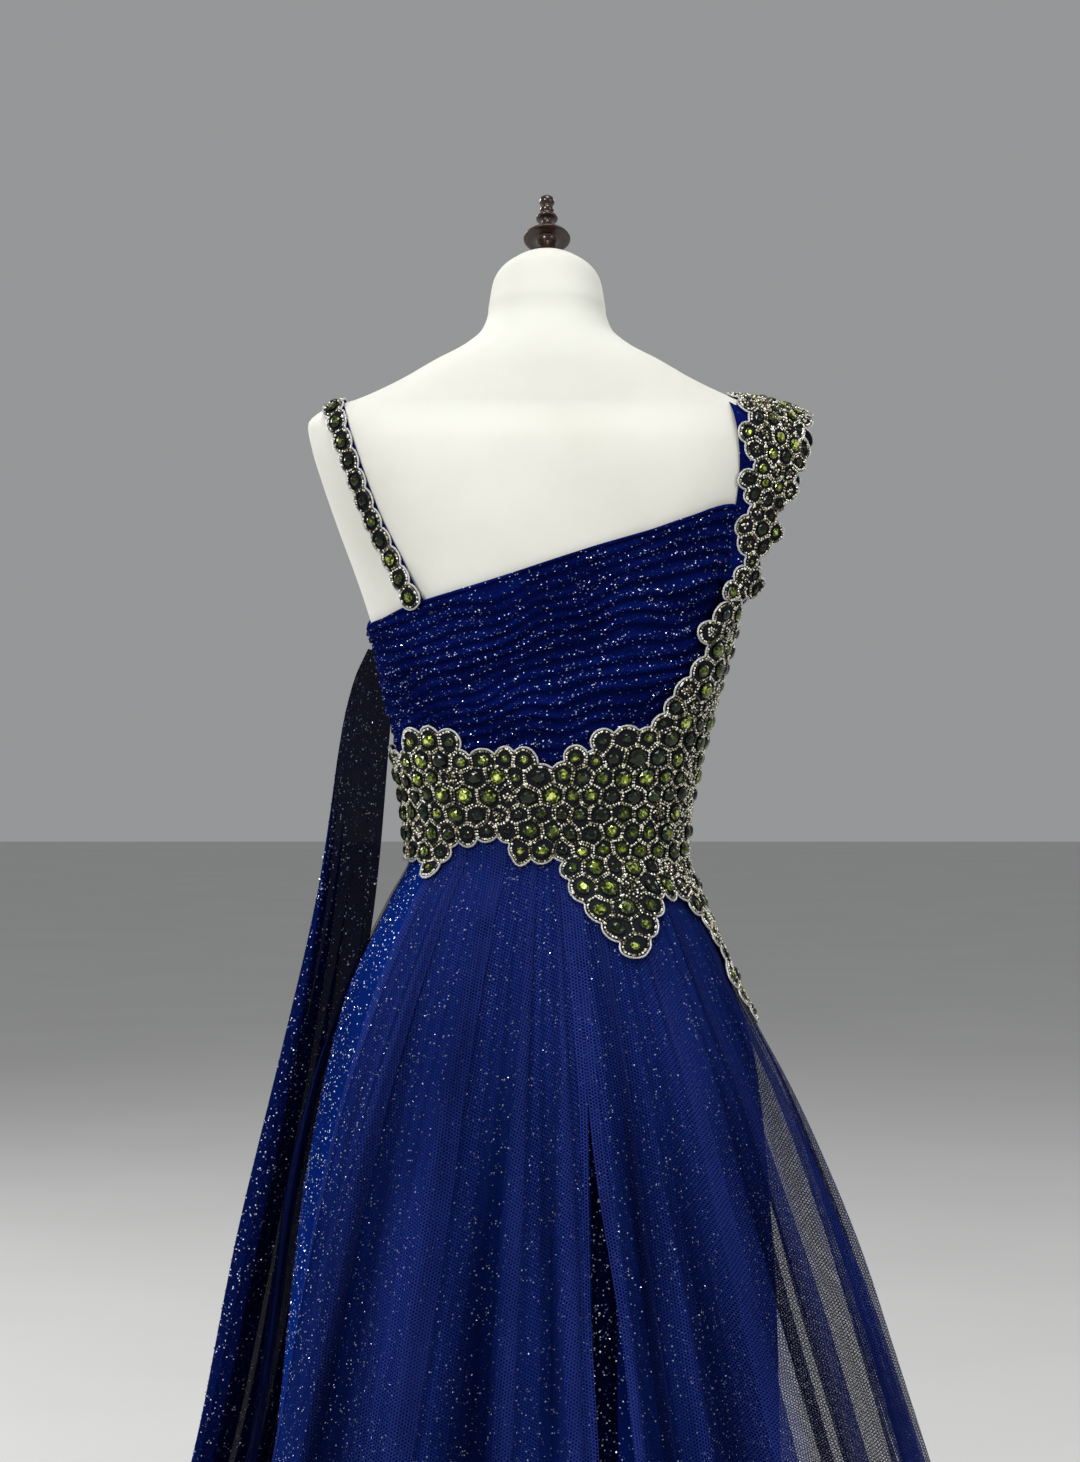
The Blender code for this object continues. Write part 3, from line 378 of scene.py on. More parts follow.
jersey = Finish("cream_jersey", Roughness=0.85, Specular_IOR_Level=0.25, Sheen_Weight=0.25)
rib, loop = jersey.waves(jersey.place("UV"), JERSEY_RIB, 0.8 * JERSEY_RIB)
soiled = jersey.noise(jersey.place("Object"), 9.0, 4.0)
worn = jersey.step(soiled, 0.35, 0.70)
jersey.varies(
    Base_Color=jersey.blend(worn, (0.70, 0.70, 0.635), (0.65, 0.64, 0.575)),
    Roughness=jersey.step(soiled, 0.2, 0.8, 0.80, 0.90),
)
jersey.bumps(rib * loop * 0.5 + soiled * 0.6, 0.00025, 0.5)

FORM = Body(FIGURE, lambda angle, z: FORM_CUP_SHARE * cups(angle, z))
turns = np.linspace(0, 360, FORM_COLUMNS)
upper = np.linspace(NECK_LOW_Z - 0.002, FORM_SPLIT_Z[0], FORM_ROWS[0])
lower = np.linspace(FORM_SPLIT_Z[1], FORM_LOW_Z, FORM_ROWS[1])
levels = np.concatenate([upper, lower])[:, None]
sine, cosine = np.sin(np.radians(turns)), np.cos(np.radians(turns))
neck_share = np.clip((levels - NECK_FOOT_Z) / (NECK_LOW_Z - NECK_FOOT_Z), 0, 1)
slanted = NECK_SLANT * NECK[0].slant * cosine * neck_share**2
trunk = FORM.point(*np.broadcast_arrays(turns[None, :], levels + slanted))
ring_curves = [smooth(range(len(NECK)), field) for field in zip(*NECK)]
neck = []
for station in np.linspace(len(NECK) - 1, 0, NECK_ROWS):
    rise, size, slant = (float(at(station)) for at in ring_curves)
    ring = np.stack([NECK_HALF * sine, -NECK_HALF * cosine], axis=-1) - trunk[0, :, :2]
    ring = size * (trunk[0, :, :2] + ring * min(1, station / 2))
    z = NECK_LOW_Z + rise + NECK_SLANT * slant * size * cosine
    neck.append(np.concatenate([ring, z[:, None]], axis=1))
foot = []
for drop, size in FORM_FOOT:
    foot.append(trunk[-1] * (size, size, 1) - (0, 0, drop))
torso = spread("dress_form_torso", np.concatenate([neck, trunk, foot]), jersey)
settle(torso, "jersey", "form_torso")


# The finial and the stand. Dark wood, turned on a lathe, stained and varnished to a
# gloss: a cap knob that screws into the neck, a pole up into the torso, a round base.

FINIAL_SEAT = 0.0368

Turn = namedtuple("Turn", "radius height")
FINIAL = table(
    Turn,
    (0.0, 0.0708), (0.0044, 0.0707), (0.0064, 0.0688), (0.0064, 0.0652),
    (0.0044, 0.0626), (0.0036, 0.0616), (0.0052, 0.0604), (0.0060, 0.0584),
    (0.0052, 0.0560), (0.0038, 0.0544), (0.0054, 0.0524), (0.0086, 0.0502),
    (0.0092, 0.0490), (0.0084, 0.0478), (0.0046, 0.0470), (0.0040, 0.0440),
    (0.0048, 0.0404), (0.0084, 0.0370), (0.0144, 0.0330), (0.0188, 0.0292),
    (0.0196, 0.0279), (0.0186, 0.0269), (0.0120, 0.0272), (0.0072, 0.0262),
    (0.0065, 0.0130), (0.0150, 0.0060), (0.0150, 0.0), (0.0, 0.0),
)
POLE = table(
    Turn,
    (0.0, 0.7697), (0.045, 0.7697), (0.045, 0.7597), (0.016, 0.7397), (0.016, 0.0970),
    (0.030, 0.0720), (0.024, 0.0520), (0.042, 0.0223), (0.0, 0.0223),
)
BASE = table(
    Turn,
    (0.0, 0.022), (0.060, 0.022), (0.150, 0.016), (0.175, 0.014),
    (0.185, 0.008), (0.185, 0.002), (0.183, 0.0), (0.0, 0.0),
)


def turned(name, profile, finish):
    """A lathe-turned piece with the corners of its profile worn round."""
    line = np.array(profile, float)
    for _ in range(3):
        near, far = line[:-1] * 0.75 + line[1:] * 0.25, line[:-1] * 0.25 + line[1:] * 0.75
        line = np.concatenate([line[:1], np.stack([near, far], 1).reshape(-1, 2)[1:-1], line[-1:]])
    turns = np.radians(np.linspace(0, 360, 41))
    radius, height = line[:, :1], np.repeat(line[:, 1:], len(turns), axis=1)
    grid = np.stack([radius * np.sin(turns), -radius * np.cos(turns), height], axis=-1)
    return spread(name, grid, finish)


varnish = Finish("varnished_wood", Specular_IOR_Level=0.35, Coat_Weight=0.55, Coat_Roughness=0.06)
grain = varnish.noise(varnish.place("Object"), 60.0, 6.0, (1, 1, 0.12))
rings = {"wave_type": "RINGS", "rings_direction": "Z"}
streak = varnish.texture(
    "ShaderNodeTexWave", varnish.place("Object"), 45.0, rings, Distortion=6.0, Detail=3.0
)
worn = varnish.noise(varnish.place("Object"), 18.0, 3.0)
wood = grain * 0.6 + streak * 0.4
varnish.varies(
    Base_Color=varnish.blend(wood, (0.006, 0.003, 0.002), (0.045, 0.017, 0.009)),
    Roughness=varnish.step(worn, 0.3, 0.7, 0.22, 0.38),
)
varnish.bumps(grain, 0.0002, 0.4)

finial = turned("neck_finial", FINIAL, varnish)
finial.location = (0, 0, NECK_LOW_Z + FINIAL_SEAT)
finial.rotation_euler = (-math.atan2(NECK_SLANT, NECK_HALF), 0, 0)
settle(finial, "dark_wood", "form_finial")
settle(turned("turned_pole", POLE, varnish), "dark_wood", "stand_pole")
settle(turned("round_base", BASE, varnish), "dark_wood", "stand_base")


# The bodice. Glitter tulle gathered into about twenty soft pleats a side, which slope
# down from the wearer's right and fan out at the left seam. It is sewn over a snug
# foundation, with a rolled top edge.

FORM_GAP = 0.0020
BODICE_WALL = 0.0015
SEAM_LEFT_Z = 1.045
SEAM_RIGHT_Z = 1.085
SEAM_ANGLE = 0.12
PLEATS = 20
PLEAT_HEIGHT = 0.0044
PLEAT_DRIFT = 0.58
FAN_SPREAD = 22.0
FAN_DRIFT = 0.6
END_SHARE = 0.06
WRINKLE = 0.00045
PRESSED_SHARE = 0.30
PRESSED_Z = 1.09
PRESSED_SPREAD = 0.05
ROLL_RADIUS = 0.0016
CORD_SIDES = 6
FLAKE_LIFT = 0.0004
FLAKE_HALVES = (0.35, 0.6)
BODICE_FLAKES = 5200
BODICE_FLAKE = 0.00068
TULLE_CELL = 0.0016

Ease = namedtuple("Ease", "at spread amount")
WAIST_EASE = Ease(1.04, 0.05, 0.0014)
ARMHOLE_EASE = Ease(118.0, 12.0, 0.0010)

TopEdge = namedtuple("TopEdge", "angle z")
BODICE_TOP = table(
    TopEdge,
    (-90, 1.222), (-68, 1.228), (-54, 1.238), (-10, 1.265), (20, 1.283),
    (40, 1.296), (52, 1.307), (66, 1.319), (74, 1.292), (90, 1.238),
    (104, 1.258), (118, 1.292), (132, 1.322), (152, 1.316), (180, 1.288),
    (206, 1.278), (231, 1.262), (250, 1.236), (270, 1.222),
)


def bump(ease, value):
    return ease.amount * np.exp(-(((value - ease.at) / ease.spread) ** 2))


def ease_in(value):
    value = np.clip(value, 0.0, 1.0)
    return value * value * (3 - 2 * value)


def wander(a, b, seed):
    """A smooth, uneven swing between about -1 and 1 over two lengths."""
    total = 0.0
    for step in range(1, 5):
        turn = 2.399 * step + 1.7 * seed
        along = a * math.cos(turn) + b * math.sin(turn)
        total = total + np.sin(step * along * 1.6 + 4.1 * turn) / step
    return total / 1.6


def between(start, end, share):
    return start + (end - start) * share


def seam_z(angle):
    """The height of the waist seam, which rises towards the wearer's right."""
    middle, rise = (SEAM_LEFT_Z + SEAM_RIGHT_Z) / 2, (SEAM_RIGHT_Z - SEAM_LEFT_Z) / 2
    return middle + rise * np.sin(np.radians(angle))


def walled(name, outer, inner, finish, depth):
    """A closed cloth wall between two grids of the same size. depth is how far down in a
    fold each outer point lies, which the finish paints as shade there."""
    rows, columns = outer.shape[:2]
    half = rows * columns
    faces = grid_faces(rows, columns) + grid_faces(rows, columns, half, inside_out=True)
    a = np.arange(columns - 1)
    low = a + (rows - 1) * columns
    rims = [np.stack([a, a + 1, a + 1 + half, a + half], 1)]
    rims.append(np.stack([low + 1, low, low + half, low + 1 + half], 1))
    a = np.arange(rows - 1) * columns
    right = a + columns - 1
    rims.append(np.stack([a + columns, a, a + half, a + columns + half], 1))
    rims.append(np.stack([right, right + columns, right + columns + half, right + half], 1))
    uv = flat_uv(outer)
    faces += np.concatenate(rims).tolist()
    shades = np.zeros(len(faces))
    shades[: (rows - 1) * (columns - 1)] = depth[:-1, :-1].ravel()
    return build(name, np.stack([outer, inner]), faces, finish, np.stack([uv, uv]), shades=shades)


def tube(name, path, out, radius, finish, twist=0.0, lobes=0.0):
    """A cord along a path, out being the direction away from the cloth at each point. A
    twist per metre and lobes make it a laid cord of two strands."""
    ahead = unit(np.gradient(path, axis=0))
    across = unit(np.cross(ahead, out))
    up = np.cross(across, ahead)
    along = run(path[:, None], 0)
    around = np.linspace(0, 2 * np.pi, CORD_SIDES + 1)[None, :]
    size = radius * (1 + lobes * np.cos(2 * (around - twist * along)))
    swing = np.cos(around)[..., None] * up[:, None] + np.sin(around)[..., None] * across[:, None]
    return spread(name, path[:, None] + size[..., None] * swing, finish)


def flakes(name, grid, count, size, seed, finish, tilt=0.35, crowd=1.0):
    """Flakes of glitter scattered over a grid of cloth, each a tiny tilted square. crowd
    is how thickly they lie at each point."""
    dice = np.random.default_rng(seed)
    across, down = grid[:-1, 1:] - grid[:-1, :-1], grid[1:, :-1] - grid[:-1, :-1]
    out = np.cross(down, across)
    area = np.linalg.norm(out, axis=-1)
    out = (out / area[..., None]).reshape(-1, 3)
    chance = (area * crowd).ravel()
    at = dice.choice(area.size, count, p=chance / chance.sum())
    u, v = dice.random((2, count, 1))
    across, down = across.reshape(-1, 3)[at], down.reshape(-1, 3)[at]
    middle = grid[:-1, :-1].reshape(-1, 3)[at] + u * across + v * down
    facing = unit(out[at] + dice.normal(0, tilt, (count, 3)))
    first = unit(np.cross(facing, dice.normal(0, 1, (count, 3))))
    second = np.cross(facing, first)
    half = dice.uniform(*FLAKE_HALVES, (count, 1)) * size
    middle += out[at] * FLAKE_LIFT
    square = ((1, 1), (-1, 1), (-1, -1), (1, -1))
    corners = np.stack([middle + half * (a * first + b * second) for a, b in square], 1)
    faces = np.arange(4 * count).reshape(-1, 4).tolist()
    return build(name, corners, faces, finish, smooth_shaded=False, shades=dice.random(count))


def honeycomb(finish, spot, cell):
    """High at the middle of each hexagon of a net and low along its threads."""
    parts = finish.node("ShaderNodeSeparateXYZ", values={"Vector": spot})
    wave = 4 * math.pi / (math.sqrt(3) * cell)
    u, v = parts * wave, parts.output("Y") * wave
    half, slant = u * 0.5, v * (math.sqrt(3) / 2)
    return u.cosine() + (half + slant).cosine() + (slant - half).cosine()


def dusted(finish, spot, share):
    """Specks of dusted-on glitter: where each is, and its colour, from dim blue glitter to
    near-white painted glints.
    """
    dust = finish.texture("ShaderNodeTexVoronoi", spot, 620.0, {"voronoi_dimensions": "2D"})
    chosen = finish.node("ShaderNodeSeparateColor", values={"Color": dust.output("Color")})
    speck = finish.step(chosen, 1 - share, 1.02 - share) * finish.step(dust, 0.42, 0.30)
    # glow picks the specks that are painted as near-white glints.
    glow = finish.step(chosen.output("Green"), 0.60, 0.86)
    return speck, finish.blend(glow, (0.006, 0.018, 0.12), (0.88, 0.93, 1.0))


def glittered(name, deep, bright, roughness, fold):
    """Fine tulle: a hexagon mesh of threads over its own colour, with dusted-on glitter and
    painted shade in its folds.
    """
    tulle = Finish(name, Specular_IOR_Level=0.0, Sheen_Weight=0.03, Sheen_Roughness=0.4)
    tulle.shader.inputs["Sheen Tint"].default_value = (0.10, 0.20, 1.0, 1)
    spot = tulle.place("UV")
    threads = tulle.step(honeycomb(tulle, spot, TULLE_CELL), -0.2, -1.1)
    cloud = tulle.noise(tulle.place("Object"), 14.0, 3.0, (1, 1, fold))
    body = tulle.blend(tulle.step(cloud, 0.35, 0.70), deep, bright)
    speck, glint = dusted(tulle, spot, 0.09)
    # The shade attribute is painted shade: it darkens the colour towards near black and clears the
    # glitter specks where it is high.
    painted_fold_shade = tulle.shade()
    body = tulle.blend(painted_fold_shade * 0.95, body, (0.0002, 0.0004, 0.004))
    body = tulle.blend(threads * 0.5, body, tuple(1.6 * part for part in bright))
    speck = speck * (1 - painted_fold_shade)
    tulle.varies(
        Base_Color=tulle.blend(speck, body, glint),
        Roughness=tulle.step(speck, 0.0, 1.0, roughness, 0.25),
    )
    return tulle.bumps(threads + speck * 2.0, 0.00025, 0.5)


pleated_tulle = glittered(
    "pleated_glitter_tulle", (0.0010, 0.0022, 0.026), (0.0020, 0.0060, 0.078), 0.62, 3.0
)
silver_dust = Finish("silver_glitter", Metallic=1.0)
tone = silver_dust.shade()
silver_dust.varies(
    Base_Color=silver_dust.ramp(
        tone,
        (0.0, (0.02, 0.04, 0.20)), (0.45, (0.12, 0.17, 0.42)),
        (0.78, (0.48, 0.55, 0.72)), (1.0, (0.93, 0.93, 0.90)),
    ),
    Roughness=silver_dust.step(tone, 0.0, 1.0, 0.45, 0.25),
)

FIGURE_BODY = Body(FIGURE, cups)
bodice_top = curve(BODICE_TOP, "angle", "z")
share = np.linspace(0, 1, 9 * PLEATS + 1)[:, None]
held = ease_in(share / END_SHARE) * ease_in((1 - share) / END_SHARE)
for side, start, seed in (("back", -90, 1), ("front", 90, 2)):
    angle = np.linspace(start, start + 180 - SEAM_ANGLE, 81)[None, :]
    z = between(bodice_top(angle), seam_z(angle), share)
    fan = np.exp(-(((angle + 90) % 360) / FAN_SPREAD))
    drift = PLEAT_DRIFT * wander(angle / 20, share * 5, seed) + FAN_DRIFT * fan * np.sin(9 * share)
    phase = PLEATS * share + drift * held
    ridge = np.sin(np.pi * (phase % 1) ** 2.2) ** 0.8
    height = PLEAT_HEIGHT * ridge * (0.62 + 0.38 * wander(angle / 15, share * 13, seed + 4))
    loose = PRESSED_SHARE + (1 - PRESSED_SHARE) * ease_in((z - PRESSED_Z) / PRESSED_SPREAD)
    crease = WRINKLE * (wander(angle / 4, share * 120, seed + 7) + np.sin(6 * np.pi * phase))
    ease = FORM_GAP + bump(WAIST_EASE, z) + bump(ARMHOLE_EASE, angle)
    inner = FIGURE_BODY.moved_out(angle, z, ease)
    relief = BODICE_WALL * 0.6 + (height + crease) * loose
    outer = FIGURE_BODY.moved_out(angle, z, ease + relief)
    # (1 - ridge) ** 1.5 is painted shade, darkest in the valleys between the pleats.
    panel = walled(f"pleated_bodice_{side}", outer, inner, pleated_tulle, (1 - ridge) ** 1.5)
    settle(panel, "pleated_tulle", f"bodice_{side}")
    crowd = 0.08 + ridge[:-1, :-1] ** 2
    dust = flakes(
        f"bodice_glitter_{side}", outer, BODICE_FLAKES, BODICE_FLAKE, seed, silver_dust,
        tilt=0.3, crowd=crowd,
    )
    settle(dust, "pleated_tulle")
    edge = FIGURE_BODY.moved_out(angle[0], z[0] - ROLL_RADIUS / 2, ease[0] + ROLL_RADIUS)
    out = FIGURE_BODY.normal(angle[0], z[0])
    settle(tube(f"bodice_top_roll_{side}", edge, out, ROLL_RADIUS, pleated_tulle), "pleated_tulle")


# The satin skirt. Royal blue satin flat-lined with glitter tulle, in one front panel
# and two back panels. The centre back seam opens at thigh height into a long slit.

WAIST_GAP = 0.0009
SATIN_WALL = 0.0015
SATIN_HEM_Z = 0.012
SATIN_FOLDS = 9
SATIN_FOLD_DEPTH = 0.011
SATIN_RIPPLE = 0.004
SATIN_FOLD_TOP_Z = 0.95
SATIN_SEAM_ANGLE = 12.5
SLIT_EDGE_ANGLE = 19.0
SLIT_SHARES = (0.185, 0.29)
SATIN_FLOAT = 0.0012
SATIN_FLAKE = 0.00092
STITCH_LENGTH = 0.0026
STITCH_PITCH = 0.0060
STITCH_WIDTH = 0.0005
STITCH_FACES = ((0, 4, 5, 1), (4, 3, 2, 5), (3, 0, 1, 2), (0, 3, 4), (1, 5, 2))

SATIN = table(
    Section,
    (0.012, 0.372, 0.376, 0.390, 0.345), (0.120, 0.322, 0.336, 0.330, 0.295),
    (0.270, 0.252, 0.285, 0.250, 0.226), (0.420, 0.207, 0.244, 0.195, 0.176),
    (0.540, 0.193, 0.226, 0.174, 0.156), (0.680, 0.188, 0.210, 0.162, 0.143),
    (0.760, 0.182, 0.200, 0.154, 0.136), (0.835, 0.175, 0.186, 0.146, 0.129),
    (0.880, 0.168, 0.176, 0.138, 0.123), (0.930, 0.151, 0.161, 0.125, 0.114),
    (0.965, 0.136, 0.145, 0.112, 0.105), (1.000, 0.121, 0.128, 0.098, 0.097),
    (1.040, 0.1105, 0.1105, 0.0805, 0.0865), (1.080, 0.1135, 0.1135, 0.0825, 0.0885),
    (1.120, 0.1225, 0.1225, 0.0885, 0.0935), (1.170, 0.1335, 0.1335, 0.0965, 0.1015),
)


def satin_relief(angle, z):
    """Shallow flutes that open towards the hem, and softer ripples between them."""
    fall = ease_in((SATIN_FOLD_TOP_Z - z) / SATIN_FOLD_TOP_Z)
    flutes = SATIN_FOLD_DEPTH * fall * (np.cos(np.radians(SATIN_FOLDS * angle)) - 1)
    turn = np.radians(angle)
    ripples = wander(7 * np.sin(turn), 7 * np.cos(turn) + 2 * z, 3) - 1
    return flutes + SATIN_RIPPLE * fall * ripples


def thickened(grid, distance):
    """A grid moved along its own normals."""
    return grid + distance * unit(np.cross(np.gradient(grid, axis=0), np.gradient(grid, axis=1)))


satin = Finish("glitter_lined_satin", Specular_IOR_Level=0.0)
spot = satin.place("UV")
warp, weft = satin.waves(spot, SATIN_FLOAT, 0.5 * SATIN_FLOAT)
# shine paints the satin's sheen into its colour as lighter streaks, and sets its roughness.
shine = satin.noise(satin.place("Object"), 7.0, 3.0, (1, 1, 0.35))
mottle = satin.noise(spot, 900.0, 1.0)
sheen = satin.step(shine + mottle * 0.3, 0.45, 0.85)
sheen = satin.blend(sheen, (0.0012, 0.008, 0.078), (0.0024, 0.020, 0.190))
speck, glint = dusted(satin, spot, 0.13)
# The shade attribute is painted shade in the hollows of the satin's flutes.
sheen = satin.blend(satin.shade() * 0.8, sheen, (0.0004, 0.0020, 0.018))
satin.varies(
    Base_Color=satin.blend(speck, sheen, glint),
    Roughness=satin.step(shine, 0.3, 0.7, 0.34, 0.48),
)
satin.bumps(warp * weft * 0.3 + mottle, 0.0002, 0.4)

SATIN_BODY = Body(SATIN, satin_relief)
share = np.linspace(0, 1, 91)[:, None]
satin_grids = []
for name, start, end, columns, width, area, count in (
    ("satin_back_left", -90, SATIN_SEAM_ANGLE, 65, 0.66, 0.42, 16000),
    ("satin_back_right", SATIN_SEAM_ANGLE + 0.14, 89.86, 49, 0.52, 0.31, 12000),
    ("satin_front", 90, 269.86, 101, 1.12, 0.72, 10000),
):
    angle = np.linspace(start, end, columns)[None, :]
    if name == "satin_back_right":
        opening = ease_in((share - SLIT_SHARES[0]) / (SLIT_SHARES[1] - SLIT_SHARES[0]))
        away = (end - angle) / (end - start)
        angle = angle + (SLIT_EDGE_ANGLE - SATIN_SEAM_ANGLE) * away * opening
    z = between(seam_z(angle) - WAIST_GAP, SATIN_HEM_Z, share)
    grid = SATIN_BODY.point(*np.broadcast_arrays(angle, z))
    # depth is painted shade in the hollows of the flutes, growing towards the hem.
    flute = (1 - np.cos(SATIN_FOLDS * np.arctan2(grid[..., 0], -grid[..., 1]))) / 2
    depth = flute**2 * ease_in((SATIN_FOLD_TOP_Z - grid[..., 2]) / SATIN_FOLD_TOP_Z)
    panel = walled(f"{name}_panel", grid, thickened(grid, -SATIN_WALL), satin, depth)
    settle(panel, "satin", name)
    dust = flakes(f"{name}_glitter", grid, count, SATIN_FLAKE, len(name), silver_dust, tilt=0.4)
    settle(dust, "satin")
    satin_grids.append(grid)

thread = Finish("hem_thread", Specular_IOR_Level=0.3, Roughness=0.55)
slanting = {"bands_direction": "DIAGONAL"}
ply = thread.texture("ShaderNodeTexWave", thread.place("Object"), 900.0, slanting)
thread.varies(Base_Color=thread.blend(ply, (0.010, 0.030, 0.22), (0.02, 0.06, 0.36)))
thread.bumps(ply, 0.0001, 0.5)
points, faces = [], []
for grid in satin_grids:
    row = grid[-3]
    along = run(row[None], 1)[0]
    for at in np.arange(STITCH_PITCH, along[-1] - STITCH_PITCH, STITCH_PITCH):
        start, end = (
            np.array([np.interp(at + reach, along, row[:, k]) for k in range(3)])
            for reach in (0, STITCH_LENGTH)
        )
        out = start * (1, 1, 0) / np.hypot(*start[:2]) * STITCH_WIDTH
        faces += [[len(points) + corner for corner in face] for face in STITCH_FACES]
        above, below = out * 0.6 + (0, 0, 0.0004), out - (0, 0, 0.0003)
        points += [start, end, end + above, start + above, start + below, end + below]
settle(build("satin_hem_stitches", points, faces, thread), "satin")


# The strip behind the slit. Sheer glitter tulle, sewn in at the top of the slit and
# lying deeper towards the hem. Its near-black colour is painted shade of the deep slit
# over the tulle's own dark blue, so that the slit shows dark with bright sparkles.

INSERT_TOP_Z = 0.853
INSERT_HEM_Z = 0.0165
INSERT_REACH = 3.0
INSERT_DEPTH = (0.0022, 0.0085)
INSERT_GATHERS = 5
INSERT_GATHER = 0.0007
INSERT_FLAKES = 2200
INSERT_FLAKE = 0.0012

# Near-black colours: painted shade of the deep slit over the tulle's own dark blue.
slit_shade_tulle = glittered(
    "slit_shade_glitter_tulle", (0.0004, 0.0006, 0.006), (0.0010, 0.0020, 0.022), 0.7, 1.0
)
share = np.linspace(0, 1, 140)[:, None]
angle = np.linspace(SATIN_SEAM_ANGLE - INSERT_REACH, SLIT_EDGE_ANGLE + INSERT_REACH, 24)[None, :]
z = between(INSERT_TOP_Z, INSERT_HEM_Z, share)
depth = SATIN_WALL + between(*INSERT_DEPTH, share)
across = (angle - angle[0, 0]) / (angle[0, -1] - angle[0, 0])
gathers = INSERT_GATHER * np.sin(2 * np.pi * INSERT_GATHERS * across + 2 * share)
strip = SATIN_BODY.moved_out(*np.broadcast_arrays(angle, z), -depth - 0.0005 + gathers)
insert = settle(spread("slit_tulle_strip", strip, slit_shade_tulle), "net", "slit_insert")
dust = flakes("slit_strip_glitter", strip, INSERT_FLAKES, INSERT_FLAKE, 12, silver_dust)
settle(dust, "net")


# The overskirt. One layer of plain fine net with hexagon holes, gathered at the waist
# in four gores. It is open at the wearer's left back, parts over the slit, and flares
# wide of the satin. Its free edges are turned in once.

NET_HEM_Z = 0.018
NET_CELL = 0.0027
GATHERS = 96
LAP_SWEEP = (0.78, 0.62)
LAP_DEPTH = 0.0090
LAP_REST = 0.08
NET_SLIT = 11.3
NET_SLIT_DRIFT = 2.2
NET_SLIT_REACH = 2.9
NET_EDGE = 1.5
NET_EDGE_LIFT = 0.0007
NET_OPEN = -58.0
WRAP_ANGLE = -60
FLAT_SHARE = 0.05
FLAT_RISE = Ease(62, 48, 0.10)
LOOSENING = 0.25
PARTING = (0.19, 0.39)
GATHER_DEPTH = (0.0004, 0.0034)
NET_DRIFT = 0.0022
# Strengths of the net's painted shade: between folds, on fold crests, in bands, at the waist.
VALLEY_SHADE = 0.85
CREST_SHADE = 0.20
BAND_SHADE = 0.45
WAIST_SHADE = Ease(0.09, 0.15, 0.24)

Lap = namedtuple("Lap", "angle half_width")
NET_LAPS = table(
    Lap,
    (-44.0, 7.0), (-25.0, 9.5), (-7.0, 5.0), (5.0, 3.0), (21.5, 4.5), (39.0, 5.5),
    (54.0, 5.0), (70.0, 6.5), (88.0, 5.5), (104.0, 6.0), (128.0, 6.5), (146.0, 5.0),
    (163.0, 7.0), (182.0, 5.5), (205.0, 6.0), (222.0, 5.5), (240.0, 6.5), (256.0, 4.5),
)

Fold = namedtuple("Fold", "angle half_width depth top")
NET = table(
    Section,
    (0.018, 0.440, 0.405, 0.455, 0.410), (0.150, 0.400, 0.358, 0.405, 0.362),
    (0.300, 0.358, 0.303, 0.347, 0.307), (0.450, 0.315, 0.258, 0.292, 0.256),
    (0.540, 0.289, 0.239, 0.258, 0.226), (0.640, 0.260, 0.224, 0.222, 0.195),
    (0.760, 0.224, 0.208, 0.183, 0.163), (0.850, 0.193, 0.190, 0.158, 0.142),
    (0.890, 0.174, 0.178, 0.144, 0.131), (0.930, 0.154, 0.165, 0.129, 0.119),
    (0.965, 0.139, 0.149, 0.115, 0.109), (1.000, 0.124, 0.131, 0.101, 0.100),
    (1.040, 0.112, 0.112, 0.082, 0.088), (1.080, 0.115, 0.115, 0.084, 0.090),
    (1.120, 0.124, 0.124, 0.090, 0.095), (1.170, 0.137, 0.135, 0.098, 0.103),
    (1.220, 0.151, 0.147, 0.104, 0.108), (1.250, 0.160, 0.157, 0.107, 0.108),
)
NET_FOLDS = table(
    Fold,
    (-49.0, 9.0, 0.022, 1.00), (-26.0, 14.0, 0.036, 1.00), (-5.5, 6.5, 0.024, 0.99),
    (5.0, 4.0, 0.020, 0.95), (14.0, 5.0, 0.026, 0.95), (25.0, 6.0, 0.022, 0.94),
    (40.0, 9.0, 0.040, 0.94), (56.0, 7.0, 0.024, 0.90), (72.0, 9.0, 0.034, 0.86),
    (91.0, 10.0, 0.030, 0.86), (109.0, 8.0, 0.026, 0.90), (128.0, 11.0, 0.036, 0.99),
    (147.0, 8.0, 0.024, 0.99), (166.0, 11.0, 0.034, 1.00), (186.0, 9.0, 0.026, 1.00),
    (204.0, 9.0, 0.032, 1.00), (224.0, 11.0, 0.028, 1.00), (243.0, 8.0, 0.020, 1.00),
    (258.0, 7.0, 0.012, 0.98),
)


def crest(fold, angle):
    """How near an angle is to the middle of a fold: 1 there, and 0 beside the fold."""
    turn = np.where(angle > WRAP_ANGLE, angle, angle + 360)
    away = np.clip(np.abs(turn - fold.angle) / fold.half_width, 0, 1)
    return np.cos(away * np.pi / 2) ** 2


def net_relief(angle, z):
    """The net's folds, and the bust above them."""
    out = cups(angle, z)
    for fold in NET_FOLDS:
        fall = np.clip((fold.top - z) / (fold.top - NET_HEM_Z), 0, 2)
        out = out + fold.depth * fall * crest(fold, angle)
    return out


def loosened(angle, share):
    """How far the net has left the waist, where it lies flat under the beadwork."""
    near = np.exp(-(((angle - FLAT_RISE.at) / FLAT_RISE.spread) ** 4))
    return ease_in((share - FLAT_SHARE - FLAT_RISE.amount * near) / LOOSENING)


def lapped(angle, share):
    """Where the net lies when each lap is folded back over itself, and how far out."""
    place, out = angle + 0 * share, 0 * angle * share
    open_share = ease_in(share * 1.4)
    for lap in NET_LAPS:
        along = np.clip((angle - lap.angle) / lap.half_width, -1, 1)
        sweep = between(*LAP_SWEEP, open_share)
        place = place - sweep * lap.half_width * np.sin(np.pi * along)
        out = out + ease_in((along + 1) / 0.2) * (1 - ease_in(along + 0.5)) * (along < 1)
    return place, out * LAP_DEPTH * between(LAP_REST, 1.0, loosened(place, share))


